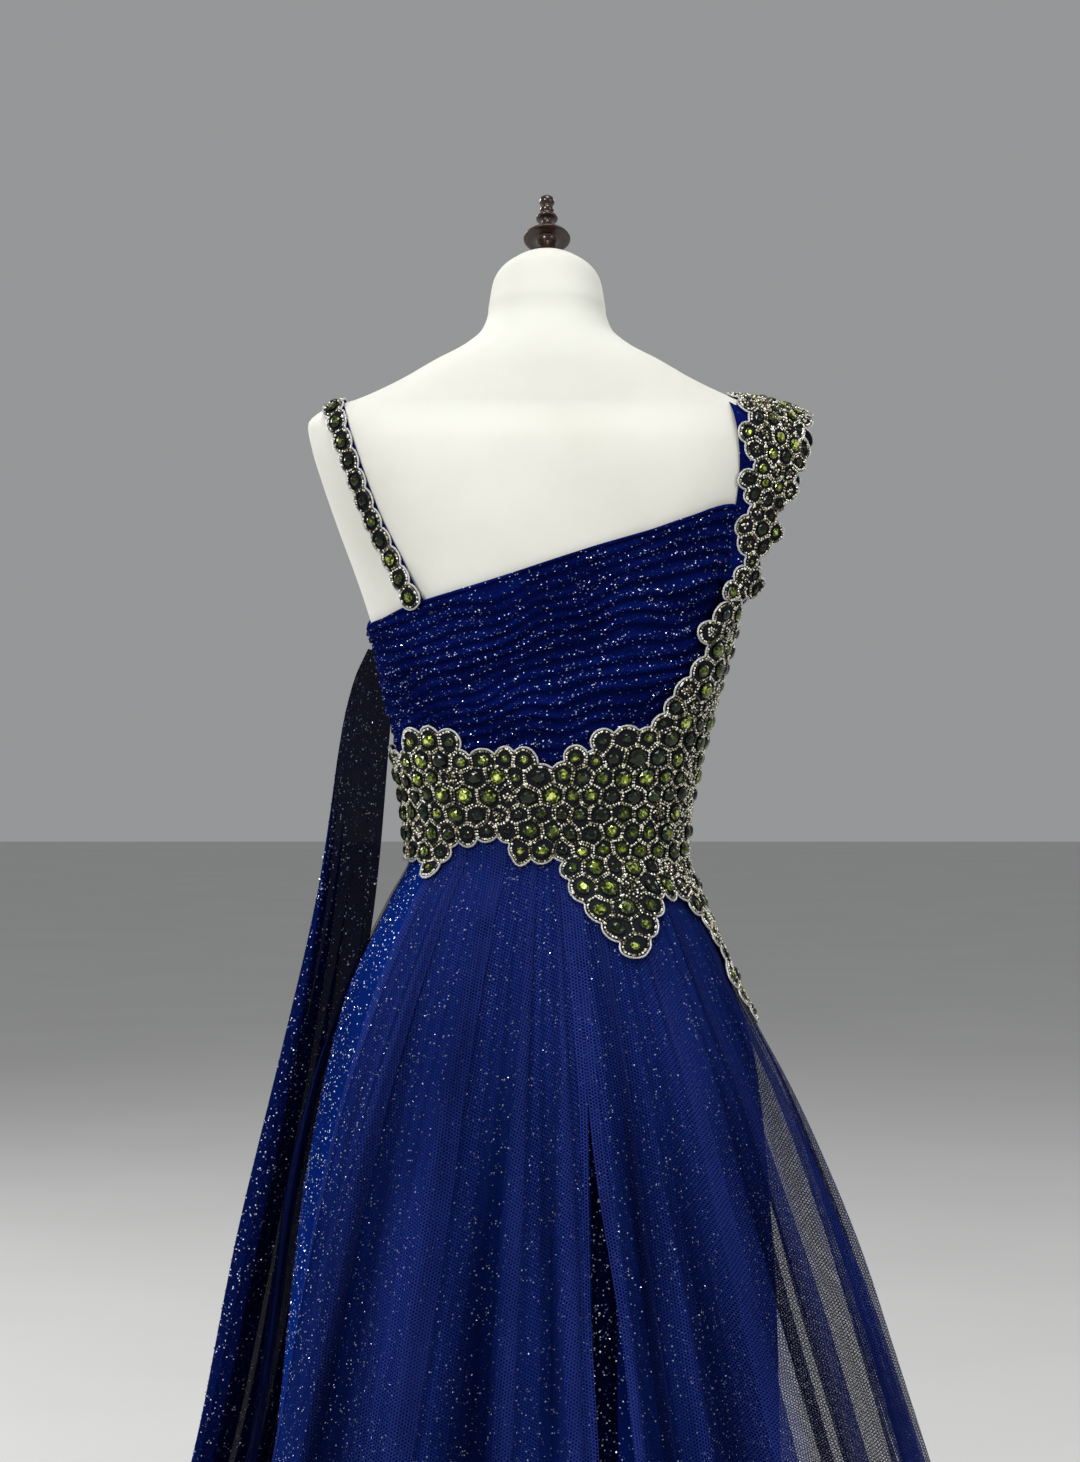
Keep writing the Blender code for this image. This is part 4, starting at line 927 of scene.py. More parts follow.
def sheer(name, thin, cell, dim, lit, share=0.0):
    """Net seen through: threads round hexagon holes, the holes only partly clear because
    the finest fibres blur over them. Its share of glitter specks is never clear."""
    net = Finish(name, Roughness=0.75, Specular_IOR_Level=0.0)
    spot = net.place("UV")
    threads = net.step(honeycomb(net, spot, cell), 0.1, -0.9)
    cloud = net.noise(net.place("Object"), 10.0, 3.0, (1, 1, 0.4))
    # Long upright streaks of painted light and shade, from the dim to the lit colour.
    colour = net.blend(net.step(cloud + threads * 0.45, 0.45, 1.05), dim, lit)
    # The shade attribute is painted shade, which darkens the net towards near black.
    colour = net.blend(net.shade() * 0.9, colour, (0.0004, 0.0010, 0.008))
    cover = net.step(threads, 0.0, 1.0, *thin)
    if share:
        speck, glint = dusted(net, spot, share)
        colour = net.blend(speck, colour, glint)
        cover = cover.maths("MAXIMUM", cover, speck)
    net.varies(Base_Color=colour, Alpha=cover)
    return net.bumps(threads, 0.0003, 0.6)


overskirt_net = sheer(
    "plain_net", (0.24, 0.90), NET_CELL, (0.0018, 0.0048, 0.040), (0.018, 0.032, 0.195)
)
NET_BODY = Body(NET, net_relief)
NET_SHARE = np.linspace(0, 1, 101)[:, None] ** 1.15
parting = ease_in((NET_SHARE - PARTING[0]) / (PARTING[1] - PARTING[0]))
slit_left, slit_right = (
    NET_SLIT + NET_SLIT_DRIFT * NET_SHARE**2 + side * NET_SLIT_REACH * parting for side in (-1, 1)
)


def hung_net(angle):
    """The net's points where it hangs at these angles, gathered and lapped, and the painted
    shade at each of them: between the folds, between the gathers, in broad bands round
    the skirt, and in the troughs of the gathers just under the waist."""
    share = NET_SHARE
    angle, lap = lapped(angle, share)
    turn = np.radians(angle)
    gather = np.cos(GATHERS * turn + 1.5 * wander(9 * turn, 2 * share, 5))
    gather = gather * (0.6 + 0.4 * wander(14 * turn, share, 6))
    loose = loosened(angle, share)
    depth = (GATHER_DEPTH[0] + GATHER_DEPTH[1] * loose) * (1 - 0.35 * share)
    drift = NET_DRIFT * loose * (1 + wander(26 * turn, 6 * share, 8))
    crests = np.clip(sum(crest(fold, angle) for fold in NET_FOLDS), 0, 1)
    shade = VALLEY_SHADE * (1 - crests) ** 1.3 + CREST_SHADE * (1 - gather) * crests
    # Broad bands of painted shade that wander round the skirt.
    shade_bands = ease_in(0.5 + 0.8 * wander(9 * turn, 0.9 * share, 12))
    shade = ease_in(share * 2.2) * shade + BAND_SHADE * ease_in(share * 3.0) * shade_bands
    shade = shade + (1 - gather) * bump(WAIST_SHADE, share)
    z = between(seam_z(angle) - WAIST_GAP, NET_HEM_Z, share)
    grid = NET_BODY.moved_out(angle, z, (1 + gather) * depth / 2 + drift + lap)
    return grid, np.clip(shade, 0, 1)


for side, widths, width, area, under in (
    ("back", ((NET_OPEN, slit_left, 145), (slit_right, 30.86, 40)), 1.05, 0.68,
     ["satin_back_left_panel", "satin_back_right_panel"]),
    ("right", ((31.0, 116.86, 181),), 1.10, 0.73, ["satin_back_right_panel", "satin_front_panel"]),
    ("front", ((117.0, 194.86, 181),), 0.90, 0.58, ["satin_front_panel"]),
    ("left", ((195.0, 265.0, 181),), 0.80, 0.52, ["satin_front_panel", "satin_back_left_panel"]),
):
    points, uvs, shades, faces = [], [], [], []
    for start, end, columns in widths:
        grid, shade = hung_net(between(start, end, np.linspace(0, 1, columns)))
        faces += grid_faces(*grid.shape[:2], first=sum(len(part) for part in points))
        points.append(grid.reshape(-1, 3))
        uvs.append(flat_uv(grid).reshape(-1, 2))
        shades.append(shade[:-1, :-1].ravel())
    points, uvs, shades = map(np.concatenate, (points, uvs, shades))
    gore = build(f"net_gore_{side}", points, faces, overskirt_net, uvs, shades=shades)
    settle(gore, "net", f"net_overskirt_{side}")
    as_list(under)

for name, edge, inward in (
    ("left", NET_OPEN, 1), ("slit_left", slit_left, -1), ("slit_right", slit_right, 1)
):
    turn_in = inward * NET_EDGE * np.linspace(0, 1, 4)[::inward] / (0.3 + 1.2 * NET_SHARE)
    strip = thickened(hung_net(edge + turn_in)[0], NET_EDGE_LIFT)
    fold = settle(spread(f"net_edge_{name}", strip, overskirt_net), "net")


# The side drape. A long panel of sheer glitter tulle caught into the left side seam
# under the arm, hanging free outside the net to the floor in deep lengthwise folds.

DRAPE_TOP_ANGLES = (-93.0, -124.0)
DRAPE_HEM_ANGLES = (-91.0, -131.0)
DRAPE_TOP_Z = 1.205
DRAPE_HEM_Z = 0.020
DRAPE_FOLDS = 5
DRAPE_FOLD_DEPTH = 0.020
DRAPE_EASE = 0.5
DRAPE_SWAY = 0.02
DRAPE_RIPPLE = 0.16
DRAPE_WALL = 0.0013
DRAPE_FLAKES = 9000
DRAPE_FLAKE = 0.0011

DRAPE = table(
    Section,
    (0.020, 0.455, 0.455, 0.470, 0.470), (0.300, 0.352, 0.352, 0.350, 0.350),
    (0.540, 0.283, 0.283, 0.262, 0.262), (0.720, 0.247, 0.247, 0.205, 0.205),
    (0.870, 0.214, 0.214, 0.165, 0.165), (1.000, 0.188, 0.188, 0.140, 0.140),
    (1.140, 0.168, 0.168, 0.128, 0.128), (1.180, 0.158, 0.158, 0.126, 0.126),
    (1.205, 0.1466, 0.1466, 0.1156, 0.1156),
)

drape_tulle = sheer(
    "sheer_glitter_tulle", (0.96, 1.0), TULLE_CELL,
    (0.0008, 0.002, 0.022), (0.003, 0.010, 0.090), 0.12,
)
along = np.linspace(0, 1, 101)[None, :]
share = np.linspace(0, 1, 121)[:, None]
z = between(DRAPE_TOP_Z, DRAPE_HEM_Z, share)
start, end = (between(top, hem, share) for top, hem in zip(DRAPE_TOP_ANGLES, DRAPE_HEM_ANGLES))
swing = DRAPE_FOLD_DEPTH / 2 * ease_in((DRAPE_TOP_Z - z) / DRAPE_EASE)
swayed = along + DRAPE_SWAY * wander(5 * share, 3 * along, 2)
out = swing * np.sin(2 * np.pi * DRAPE_FOLDS * swayed)
out = out + DRAPE_RIPPLE * swing * wander(24 * along, 3 * share, 9)
angle, z = np.broadcast_arrays(between(end, start, along), z)
drape_grid = Body(DRAPE).moved_out(angle, z, DRAPE_WALL / 2 + out)
drape = settle(spread("side_drape_panel", drape_grid, drape_tulle), "net", "side_drape")
for side, grid in (("outer", drape_grid), ("inner", drape_grid[:, ::-1])):
    name = f"side_drape_glitter_{side}"
    settle(flakes(name, grid, DRAPE_FLAKES, DRAPE_FLAKE, 21, silver_dust, tilt=0.5), "net")


# The beaded waist. Round faceted crystals of peridot glass, glued and sewn to a dark
# ground cloth inside a web of silver-lined seed beads, and edged with a silver cord. It
# widens into a panel under the right arm, with a pointed tail on the hip.

CRYSTAL_PITCH = 0.0170
ROW_PITCH = CRYSTAL_PITCH * math.sqrt(3) / 2
UNEVEN_SHARE = 0.32
BEAD_GAP = 0.0022
GROUND_WALL = 0.0011
GROUND_PUFF = 0.0005
CRYSTAL_SIDES = 9
CRYSTAL_RADIUS = 0.0066
CRYSTAL_MARGIN = 0.0018
CRYSTAL_SIZES = (0.80, 1.0)
CRYSTAL_STRAY = 0.0003
FACET_GLOW = (0.25, 0.9)
GIRDLE_GLOW = 0.35
BEAD_SIDES = 5
BEAD_LENGTH = 0.0022
BEAD_REACH = 0.46
BEAD_RISES = (-0.0002, 0.0005)
BEAD_WIDTH = 0.0019
BEAD_RISE = 0.0020
CHAIN_INSET = 0.0020
DOUBLE_SHARE = 0.82
DOUBLE_SHIFTS = (-0.00088, 0.00092)
CHAIN_SLANT = 0.10
CHAIN_SAG = 0.0003
BEAD_STRAY = 0.00010
BEAD_TILT = 0.16
CHAIN_SIZES = (0.84, 1.04)
DOUBLE_SIZE = 0.90
KNOT_SIZES = (0.8, 1.15)
KNOT_STRAY = 0.0002
CORD_LIFT = 0.0004
CORD_RADIUS = 0.00085
CORD_TWIST = 900.0
CORD_LOBES = 0.22
ARC_STEPS = 6
FILL_CROWD = 620000
FILL_TURN = 2.4
FILL_SIZES = (0.86, 1.08)

Facet = namedtuple("Facet", "radius rise turn")
CRYSTAL = table(
    Facet,
    (0.90, 0.0000, 0.0), (1.00, 0.0014, 0.0), (1.00, 0.0019, 0.0),
    (0.76, 0.0034, 0.5), (0.47, 0.0042, 0.0),
)
BeltEdge = namedtuple("BeltEdge", "angle top bottom")
BELT = table(
    BeltEdge,
    (-90, 1.122, 1.036), (-70, 1.120, 1.034), (-56, 1.138, 1.012), (-44, 1.130, 1.046),
    (-32, 1.120, 1.056), (-16, 1.124, 1.026), (-6, 1.116, 1.036), (5, 1.112, 1.040),
    (14, 1.120, 1.008), (22, 1.138, 0.972), (30, 1.130, 0.962), (39, 1.136, 0.984),
    (48, 1.156, 1.006), (57, 1.186, 1.010), (64, 1.234, 0.998), (69, 1.258, 0.978),
    (77, 1.254, 0.930), (85, 1.228, 0.900), (95, 1.228, 0.898), (103, 1.254, 0.940),
    (111, 1.258, 0.982), (117, 1.234, 1.002), (126, 1.184, 1.014), (140, 1.140, 1.010),
    (155, 1.124, 0.984), (168, 1.132, 0.996), (182, 1.116, 1.032), (200, 1.124, 1.034),
    (216, 1.114, 1.020), (232, 1.126, 1.038), (250, 1.118, 1.030), (270, 1.122, 1.036),
)
BELT_LOW_Z = 0.880
BELT_ROWS = 29
BELT_RULE_Z = 1.10
BELT_STEPS = 720
CELL_SEED = 500
HEX_CORNERS = ((0, 2), (1, 1), (1, -1), (0, -2), (-1, -1), (-1, 1))


def cell_corners(i, j):
    return [(2 * i + j % 2 + across, 3 * j + up) for across, up in HEX_CORNERS]


def scattered(key, pitch, rise, low, wrap):
    """The flat place of a cell's corner: midway between the three crystals round it, each
    of which is set a little off its place in the honeycomb."""
    near = []
    for across, up in HEX_CORNERS:
        j, i = (key[1] - up) // 3, key[0] - across
        if (key[1] - up) % 3 == 0 and (i - j % 2) % 2 == 0:
            cell = wrap((i, 3 * j))
            dice = np.random.default_rng([CELL_SEED + part for part in cell])
            off_p, off_q = UNEVEN_SHARE * dice.uniform(-1, 1, 2)
            near.append(((i / 2 + off_p) * pitch, low + (j + off_q) * rise))
    return tuple(np.mean(near, 0))


def joined(cells):
    """The cells that share an edge with the largest group."""
    left, groups = set(cells), []
    while left:
        group, todo = set(), [left.pop()]
        while todo:
            cell = todo.pop()
            group.add(cell)
            near = {other for other in left if len(set(cells[cell]) & set(cells[other])) >= 2}
            left -= near
            todo += near
        groups.append(group)
    largest = max(groups, key=len)
    return {cell: keys for cell, keys in cells.items() if cell in largest}


def pairs(ring):
    """Each member of a ring with the next one."""
    return zip(ring, ring[1:] + ring[:1])


def rounded(start, end, middle):
    """Points from start towards end on an arc round a cell's middle."""
    polar = [math.atan2(*(spot - middle)[::-1]) for spot in (start, end)]
    sweep = (polar[1] - polar[0] + math.pi) % (2 * math.pi) - math.pi
    share = np.arange(ARC_STEPS)[:, None] / ARC_STEPS
    near, far = np.linalg.norm(start - middle), np.linalg.norm(end - middle)
    turn = polar[0] + sweep * share
    return middle + between(near, far, share) * np.hstack([np.cos(turn), np.sin(turn)])


def repeated(pattern, count, size):
    """The faces of many like shapes, each of so many points."""
    return [[k * size + corner for corner in face] for k in range(count) for face in pattern]


def set_crystals(name, place, middles, radii, dice):
    """Round crystals with a flat table on top of two rings of triangular facets."""
    around, n = np.arange(CRYSTAL_SIDES), CRYSTAL_SIDES
    spin = dice.uniform(0, 2 * np.pi, len(radii))[:, None]
    rings = []
    for facet in CRYSTAL:
        turn = spin + 2 * np.pi * (around + facet.turn) / CRYSTAL_SIDES
        reach = facet.radius * radii[:, None]
        p, q = middles[:, :1] + reach * np.cos(turn), middles[:, 1:] + reach * np.sin(turn)
        rise = facet.rise * (radii[:, None] / CRYSTAL_RADIUS) + GROUND_WALL + GROUND_PUFF
        rings.append(place(p, q, rise + np.zeros_like(p)))
    pattern = []
    for low in (0, n):
        pattern += [(a, b, b + n, a + n) for a, b in ((low + k, low + (k + 1) % n) for k in around)]
    for k in around:
        (a, b), (c, d), (e, f) = ((m * n + k, m * n + (k + 1) % n) for m in (2, 3, 4))
        pattern += [(a, b, c), (b, d, c), (c, f, e), (c, d, f)]
    pattern.append(tuple(4 * n + around))
    # Painted light: each stone's glow lights its table, its crown facets take random shares of it
    # as painted glints, and its girdle facets take painted shade.
    glow = dice.beta(1.1, 1.0, len(radii))[:, None]
    shades = glow * dice.uniform(*FACET_GLOW, (len(radii), len(pattern)))
    shades[:, : 2 * n] *= GIRDLE_GLOW
    shades[:, -1] = glow[:, 0]
    points, faces = np.concatenate(rings, 1), repeated(pattern, len(radii), 5 * n)
    return build(name, points, faces, crystal, smooth_shaded=False, shades=shades.ravel())


def thread_beads(name, place, beads, rises, dice):
    """Seed beads, each a short barrel that lies along its thread."""
    p, q, ahead_p, ahead_q, sizes = beads.T
    reach_p, reach_q = (part * BEAD_LENGTH * BEAD_REACH * sizes for part in (ahead_p, ahead_q))
    start = place(p - reach_p, q - reach_q, rises)
    end = place(p + reach_p, q + reach_q, rises)
    middle, axis = (start + end) / 2, (end - start) / 2
    across = unit(np.cross(axis, place(p, q, rises + 0.001) - middle))
    up = unit(np.cross(across, axis))
    half = (BEAD_WIDTH / 2 * sizes)[:, None]
    rings, pattern = [start, end], []
    for k in range(BEAD_SIDES):
        turn = 2 * np.pi * k / BEAD_SIDES
        reach = half * (math.cos(turn) * up + math.sin(turn) * across)
        rings += [middle - 0.5 * axis + reach, middle + 0.5 * axis + reach]
        low, low_next = 2 + 2 * k, 2 + 2 * ((k + 1) % BEAD_SIDES)
        high, high_next = low + 1, low_next + 1
        pattern += [(low, low_next, high_next, high), (0, low_next, low), (1, high, high_next)]
    shades = np.repeat(dice.random(len(beads)), len(pattern))
    faces = repeated(pattern, len(beads), len(rings))
    return build(name, np.stack(rings, 1), faces, seed_glass, shades=shades)


def bead_chain(line, shift, slant, dice):
    """Beads threaded along a line, with the flat place, heading and size of each."""
    along = run(line[None], 1)[0]
    count = max(2, round(along[-1] / BEAD_LENGTH))
    at = (np.arange(count) + 0.5 + dice.uniform(-0.12, 0.12, count)) / count * along[-1]
    spots = np.stack([np.interp(at, along, line[:, k]) for k in (0, 1)], 1)
    course = unit(line[-1] - line[0])
    swerve = shift + slant * (at - along[-1] / 2)
    swerve = swerve + CHAIN_SAG * np.sin(at / along[-1] * np.pi) * dice.normal()
    spots = spots + np.outer(swerve, (course[1], -course[0]))
    spots = spots + dice.normal(0, BEAD_STRAY, spots.shape)
    ahead = unit(course + dice.normal(0, BEAD_TILT, spots.shape))
    sizes = dice.uniform(*CHAIN_SIZES, (count, 1)) * (1.0 if shift == 0 else DOUBLE_SIZE)
    return np.hstack([spots, ahead, sizes])


def bead_fill(middle, radius, dice):
    """Beads that fill a cell with no stone, set as the seeds of a sunflower are."""
    count = round(FILL_CROWD * radius**2)
    numbers = np.arange(count)[:, None]
    away = radius * np.sqrt((numbers + 0.5) / count)
    turn = FILL_TURN * numbers + dice.normal(0, 0.12, (count, 1))
    spots = middle + away * np.hstack([np.cos(turn), np.sin(turn)])
    ahead = unit(dice.normal(0, 1, (count, 2)))
    return np.hstack([spots, ahead, dice.uniform(*FILL_SIZES, (count, 1))])


def lay_ground(name, place, rings, under):
    """The ground cloth: a closed wall with a soft swell under each crystal."""
    spots, numbers, top = [], {}, []
    for ring, middle in rings:
        places = []
        for spot in ring:
            key = tuple(np.round(spot, 7))
            if key not in numbers:
                numbers[key] = len(spots)
                spots.append((*spot, 0.0))
            places.append(numbers[key])
        spots.append((*middle, GROUND_PUFF))
        top += [(len(spots) - 1, a, b) for a, b in pairs(places)]
    p, q, puff = np.array(spots).T
    edges = {(a, b) for _, a, b in top}
    half = len(spots)
    rims = [(b, a, a + half, b + half) for a, b in edges if (b, a) not in edges]
    bottom = [(c + half, b + half, a + half) for a, b, c in top]
    points = [place(p, q, GROUND_WALL + puff), place(p, q, puff * 0.4)]
    flat = np.stack([p, q], 1)
    faces = top + rims + bottom
    ground = build(name, np.concatenate(points), faces, ground_cloth, np.tile(flat, (2, 1)))
    a, b, c = (flat[[corners[k] for corners in top]] for k in range(3))
    width, length = float(np.ptp(p)), float(np.ptp(q))
    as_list(under)
    return ground


def lay_cords(name, after, inside):
    """The silver cord along each open edge. after holds, for each corner on an edge, the
    corners that come next and the arcs that lead to them."""
    number = 0
    while after:
        key, path = next(iter(after)), []
        while key in after:
            ends = after[key]
            here, (key, arc) = key, ends.pop()
            if not ends:
                del after[here]
            path.append(arc)
        path = np.concatenate(path + path[0:1])
        path = (np.roll(path, 1, 0) + 2 * path + np.roll(path, -1, 0))[1:-1] / 4
        number += 1
        around = unit(np.gradient(path, axis=0))
        out = unit(path * (1, 1, 0)) if inside is None else unit(path - inside)
        out = out - around * np.sum(out * around, 1)[:, None]
        cord = tube(
            f"{name}_cord_{number}", path, out, CORD_RADIUS, silver_cord,
            twist=CORD_TWIST, lobes=CORD_LOBES,
        )
        settle(cord, "beadwork")


def sew_beadwork(name, groups, corner_at, place, wrap, seed, stones, under, inside=None):
    """Beadwork on a honeycomb of uneven cells. groups lists each node's cells, corner_at
    gives a corner's place on the flat sheet, and place puts flat points in the room. The
    cells that get no stone, by the node's share of stones, are filled with seed beads.
    under, what the ground cloth lies on, is not used, and inside is a point that a
    strap's cord faces away from."""
    dice = np.random.default_rng(seed)
    uses = Counter()
    for cells in groups.values():
        for keys in cells.values():
            uses.update(frozenset(map(wrap, edge)) for edge in pairs(keys))
    done, after = set(), {}
    for node, cells in groups.items():
        rings, stone_rows, beads = [], [], []
        for keys in cells.values():
            keys = keys[::-1]
            corners = [np.array(corner_at(key)) for key in keys]
            middle, ring, reach = sum(corners) / 6, [], []
            for (key, other), (start, end) in zip(pairs(keys), pairs(corners)):
                edge = frozenset((wrap(key), wrap(other)))
                open_edge = uses[edge] == 1
                arc = rounded(start, end, middle) if open_edge else start[None]
                ring += list(arc)
                line = np.vstack([arc, end])
                if open_edge:
                    raised = place(*arc.T, GROUND_WALL + CORD_LIFT)
                    after.setdefault(wrap(key), []).append((wrap(other), raised))
                    away = np.linalg.norm(line - middle, axis=1)[:, None]
                    line = middle + (line - middle) * (1 - CHAIN_INSET / away)
                reach.append(np.linalg.norm((line[0] + line[-1]) / 2 - middle))
                if edge in done:
                    continue
                done.add(edge)
                single = open_edge or dice.random() > DOUBLE_SHARE
                slant = 0.0 if open_edge else dice.normal(0, CHAIN_SLANT)
                for shift in (0.0,) if single else DOUBLE_SHIFTS:
                    beads.append(bead_chain(line, shift, slant, dice))
                spots = line[:1] + dice.normal(0, KNOT_STRAY, (2, 2))
                ahead = unit(dice.normal(0, 1, (2, 2)))
                beads.append(np.hstack([spots, ahead, dice.uniform(*KNOT_SIZES, (2, 1))]))
            rings.append((ring, middle))
            radius = (min(reach) - CRYSTAL_MARGIN) * dice.uniform(*CRYSTAL_SIZES)
            if dice.random() < stones[node]:
                stone_rows.append((*(middle + dice.normal(0, CRYSTAL_STRAY, 2)), radius))
            else:
                beads.append(bead_fill(middle, radius, dice))
        middles, radii = np.hsplit(np.array(stone_rows), [2])
        beads = np.concatenate(beads)
        rises = BEAD_RISE + dice.uniform(*BEAD_RISES, len(beads))
        settle(lay_ground(f"{node}_ground", place, rings, under), "beadwork", node)
        settle(set_crystals(f"{node}_crystals", place, middles, radii[:, 0], dice), "beadwork")
        settle(thread_beads(f"{node}_seed_beads", place, beads, rises, dice), "beadwork")
    lay_cords(name, after, inside)


crystal = Finish(
    "peridot_glass", Metallic=0.55, Specular_IOR_Level=0.4, Coat_Weight=0.3, Coat_Roughness=0.03
)
# The ramp paints each facet's light, broken into small cells as painted reflections inside the
# glass, from near black to pale yellow-green. The teal patches are the glass's own hue.
tone = crystal.shade()
inner = crystal.texture("ShaderNodeTexVoronoi", crystal.place("Object"), 480.0)
flash = crystal.node("ShaderNodeSeparateColor", values={"Color": inner.output("Color")})
hue = crystal.noise(crystal.place("Object"), 45.0, 1.0)
green = crystal.ramp(
    tone * (flash * 0.7 + 0.62),
    (0.0, (0.0015, 0.003, 0.001)), (0.35, (0.009, 0.015, 0.003)), (0.62, (0.085, 0.12, 0.010)),
    (0.84, (0.36, 0.45, 0.04)), (1.0, (0.80, 0.88, 0.24)),
)
teal = crystal.step(hue, 0.56, 0.66, 0.0, 0.65)
crystal.varies(
    Base_Color=crystal.blend(teal, green, (0.002, 0.012, 0.008)),
    Roughness=crystal.step(flash, 0.0, 1.0, 0.05, 0.16),
)

seed_glass = Finish("silver_lined_beads", Metallic=0.4, Coat_Weight=0.6, Coat_Roughness=0.08)
tone = seed_glass.shade()
seed_glass.varies(
    Base_Color=seed_glass.ramp(
        tone,
        (0.0, (0.012, 0.012, 0.006)), (0.32, (0.09, 0.082, 0.036)), (0.55, (0.44, 0.39, 0.22)),
        (0.74, (0.93, 0.90, 0.74)), (1.0, (1.0, 0.99, 0.92)),
    ),
    Roughness=seed_glass.step(tone, 0.0, 1.0, 0.34, 0.16),
)

silver_cord = Finish("silver_cord", Metallic=0.55)
ply = silver_cord.texture(
    "ShaderNodeTexWave", silver_cord.place("UV"), 1500.0, slanting, Distortion=2.0
)
fibre = silver_cord.noise(silver_cord.place("Object"), 2500.0)
silver = ply * 0.6 + fibre * 0.4
silver_cord.varies(
    Base_Color=silver_cord.blend(silver, (0.36, 0.36, 0.38), (0.86, 0.86, 0.86)),
    Roughness=silver_cord.step(fibre, 0.3, 0.7, 0.30, 0.45),
)
silver_cord.bumps(ply + fibre, 0.00015, 0.7)

ground_cloth = Finish("dark_ground_cloth", Specular_IOR_Level=0.2)
spot = ground_cloth.place("UV")
weave = ground_cloth.texture("ShaderNodeTexChecker", spot, 1800.0, output="Fac")
nap = ground_cloth.noise(spot, 700.0, 3.0)
raised = ground_cloth.step(nap, 0.35, 0.75)
ground_cloth.varies(
    Base_Color=ground_cloth.blend(raised, (0.0012, 0.002, 0.005), (0.006, 0.009, 0.016)),
    Roughness=ground_cloth.step(nap, 0.3, 0.7, 0.65, 0.85),
)
ground_cloth.bumps(weave * 0.5 + nap, 0.0002, 0.6)

BELT_TURNS = np.linspace(-90, 270, BELT_STEPS + 1)
rule = run(NET_BODY.point(BELT_TURNS, BELT_RULE_Z)[None], 1)[0]
COLUMNS = 2 * round(rule[-1] / CRYSTAL_PITCH / 2)
BELT_PITCH = rule[-1] / COLUMNS


def belt_angle(p):
    return 360 * np.floor(p / rule[-1]) + np.interp(p % rule[-1], rule, BELT_TURNS)


def belt_wrap(key):
    return key[0] % (2 * COLUMNS), key[1]


def belt_corner(key):
    return scattered(key, BELT_PITCH, ROW_PITCH, BELT_LOW_Z, belt_wrap)


def belt_place(p, q, out):
    return NET_BODY.moved_out(belt_angle(p), q, BEAD_GAP + out + np.zeros_like(p))


belt_top, belt_bottom = curve(BELT, "angle", "top"), curve(BELT, "angle", "bottom")
groups = {}
for node, start, end in (
    ("beaded_waist_back", -90, 58), ("beaded_side", 58, 118), ("beaded_waist_front", 118, 270)
):
    cells = {}
    for j in range(BELT_ROWS):
        z = BELT_LOW_Z + j * ROW_PITCH
        for i in range(COLUMNS):
            angle = belt_angle((i + (j % 2) / 2) * BELT_PITCH)
            if start <= angle < end and belt_bottom(angle) < z < belt_top(angle):
                cells[i, j] = cell_corners(i, j)
    groups[node] = joined(cells)
stones = {"beaded_waist_back": 0.92, "beaded_side": 0.50, "beaded_waist_front": 0.92}
under = ["pleated_bodice_back", "pleated_bodice_front"]
sew_beadwork("waist", groups, belt_corner, belt_place, belt_wrap, 5, stones, under)


# The wide strap. The same beadwork, four crystals across, from the panel under the arm
# up over the wearer's right shoulder, where its outer edge stands out as a cap.

STRAP_STEPS = 240
STRAP_PITCH = 0.0142
STRAP_ROW = STRAP_PITCH * math.sqrt(3) / 2
STRAP_MARGIN = 0.14 * STRAP_PITCH
STRAP_LIFT = 0.0022
STRAP_END_LIFT = 0.0064
STRAP_END_REACH = 0.085
STRAP_CROWN = 0.0030
LINING_SHOWS = 0.0052
LINING_DEPTH = 0.0007
LINING_INSET = 0.0060
LINING_END = 0.014
WIDE_STONES = 0.72
WIDE_INSIDE = (0.05, 0.0, 1.25)

StrapRow = namedtuple("StrapRow", "inner_x inner_z outer_x outer_y outer_z")
WIDE_STRAP = table(
    StrapRow,
    (0.1330, 1.247, 0.1600, 0.028, 1.248), (0.1440, 1.272, 0.1700, 0.036, 1.272),
    (0.1520, 1.305, 0.1830, 0.039, 1.300), (0.1570, 1.340, 0.1970, 0.036, 1.332),
    (0.1560, 1.372, 0.2090, 0.030, 1.360), (0.1510, 1.396, 0.2140, 0.018, 1.382),
    (0.1480, 1.4105, 0.2150, 0.000, 1.394),
)


def on_figure(x, z, side):
    """The point of the gown's figure at this x and height, side being -1 for the back."""
    half = FIGURE_BODY.sides["right" if x > 0 else "left"](z)
    depth = FIGURE_BODY.sides["back" if side < 0 else "front"](z)
    y = side * depth * max(0.0, 1 - abs(x / half) ** SQUARENESS) ** (1 / SQUARENESS)
    swell = cups(math.degrees(math.atan2(x, -y)), z) / math.hypot(x, y)
    return np.array((x * (1 + swell), y * (1 + swell), z))


def curve_through(points):
    points = np.array(points)

    def at(share):
        along = np.clip(share, 0, 1) * (len(points) - 1)
        i = np.minimum(along.astype(int), len(points) - 2)
        t = (along - i)[..., None]
        before, here = points[np.maximum(i - 1, 0)], points[i]
        there, beyond = points[i + 1], points[np.minimum(i + 2, len(points) - 1)]
        near = here * (1 + 2 * t) * (1 - t) ** 2 + there * t * t * (3 - 2 * t)
        return near + ((there - before) * (1 - t) - (beyond - here) * t) * t * (1 - t) / 2

    return at


inner_line, outer_line = [], []
for side, rows in ((-1, WIDE_STRAP), (1, WIDE_STRAP[-2::-1])):
    for row in rows:
        inner = np.array((row.inner_x, 0.0, row.inner_z))
        inner_line.append(inner if row is WIDE_STRAP[-1] else on_figure(*inner[[0, 2]], side))
        outer_line.append(np.array((row.outer_x, side * row.outer_y, row.outer_z)))
strap_inner, strap_outer = curve_through(inner_line), curve_through(outer_line)
strap_shares = np.linspace(0, 1, STRAP_STEPS + 1)


def strap_middle(share):
    return (strap_inner(share) + strap_outer(share)) / 2


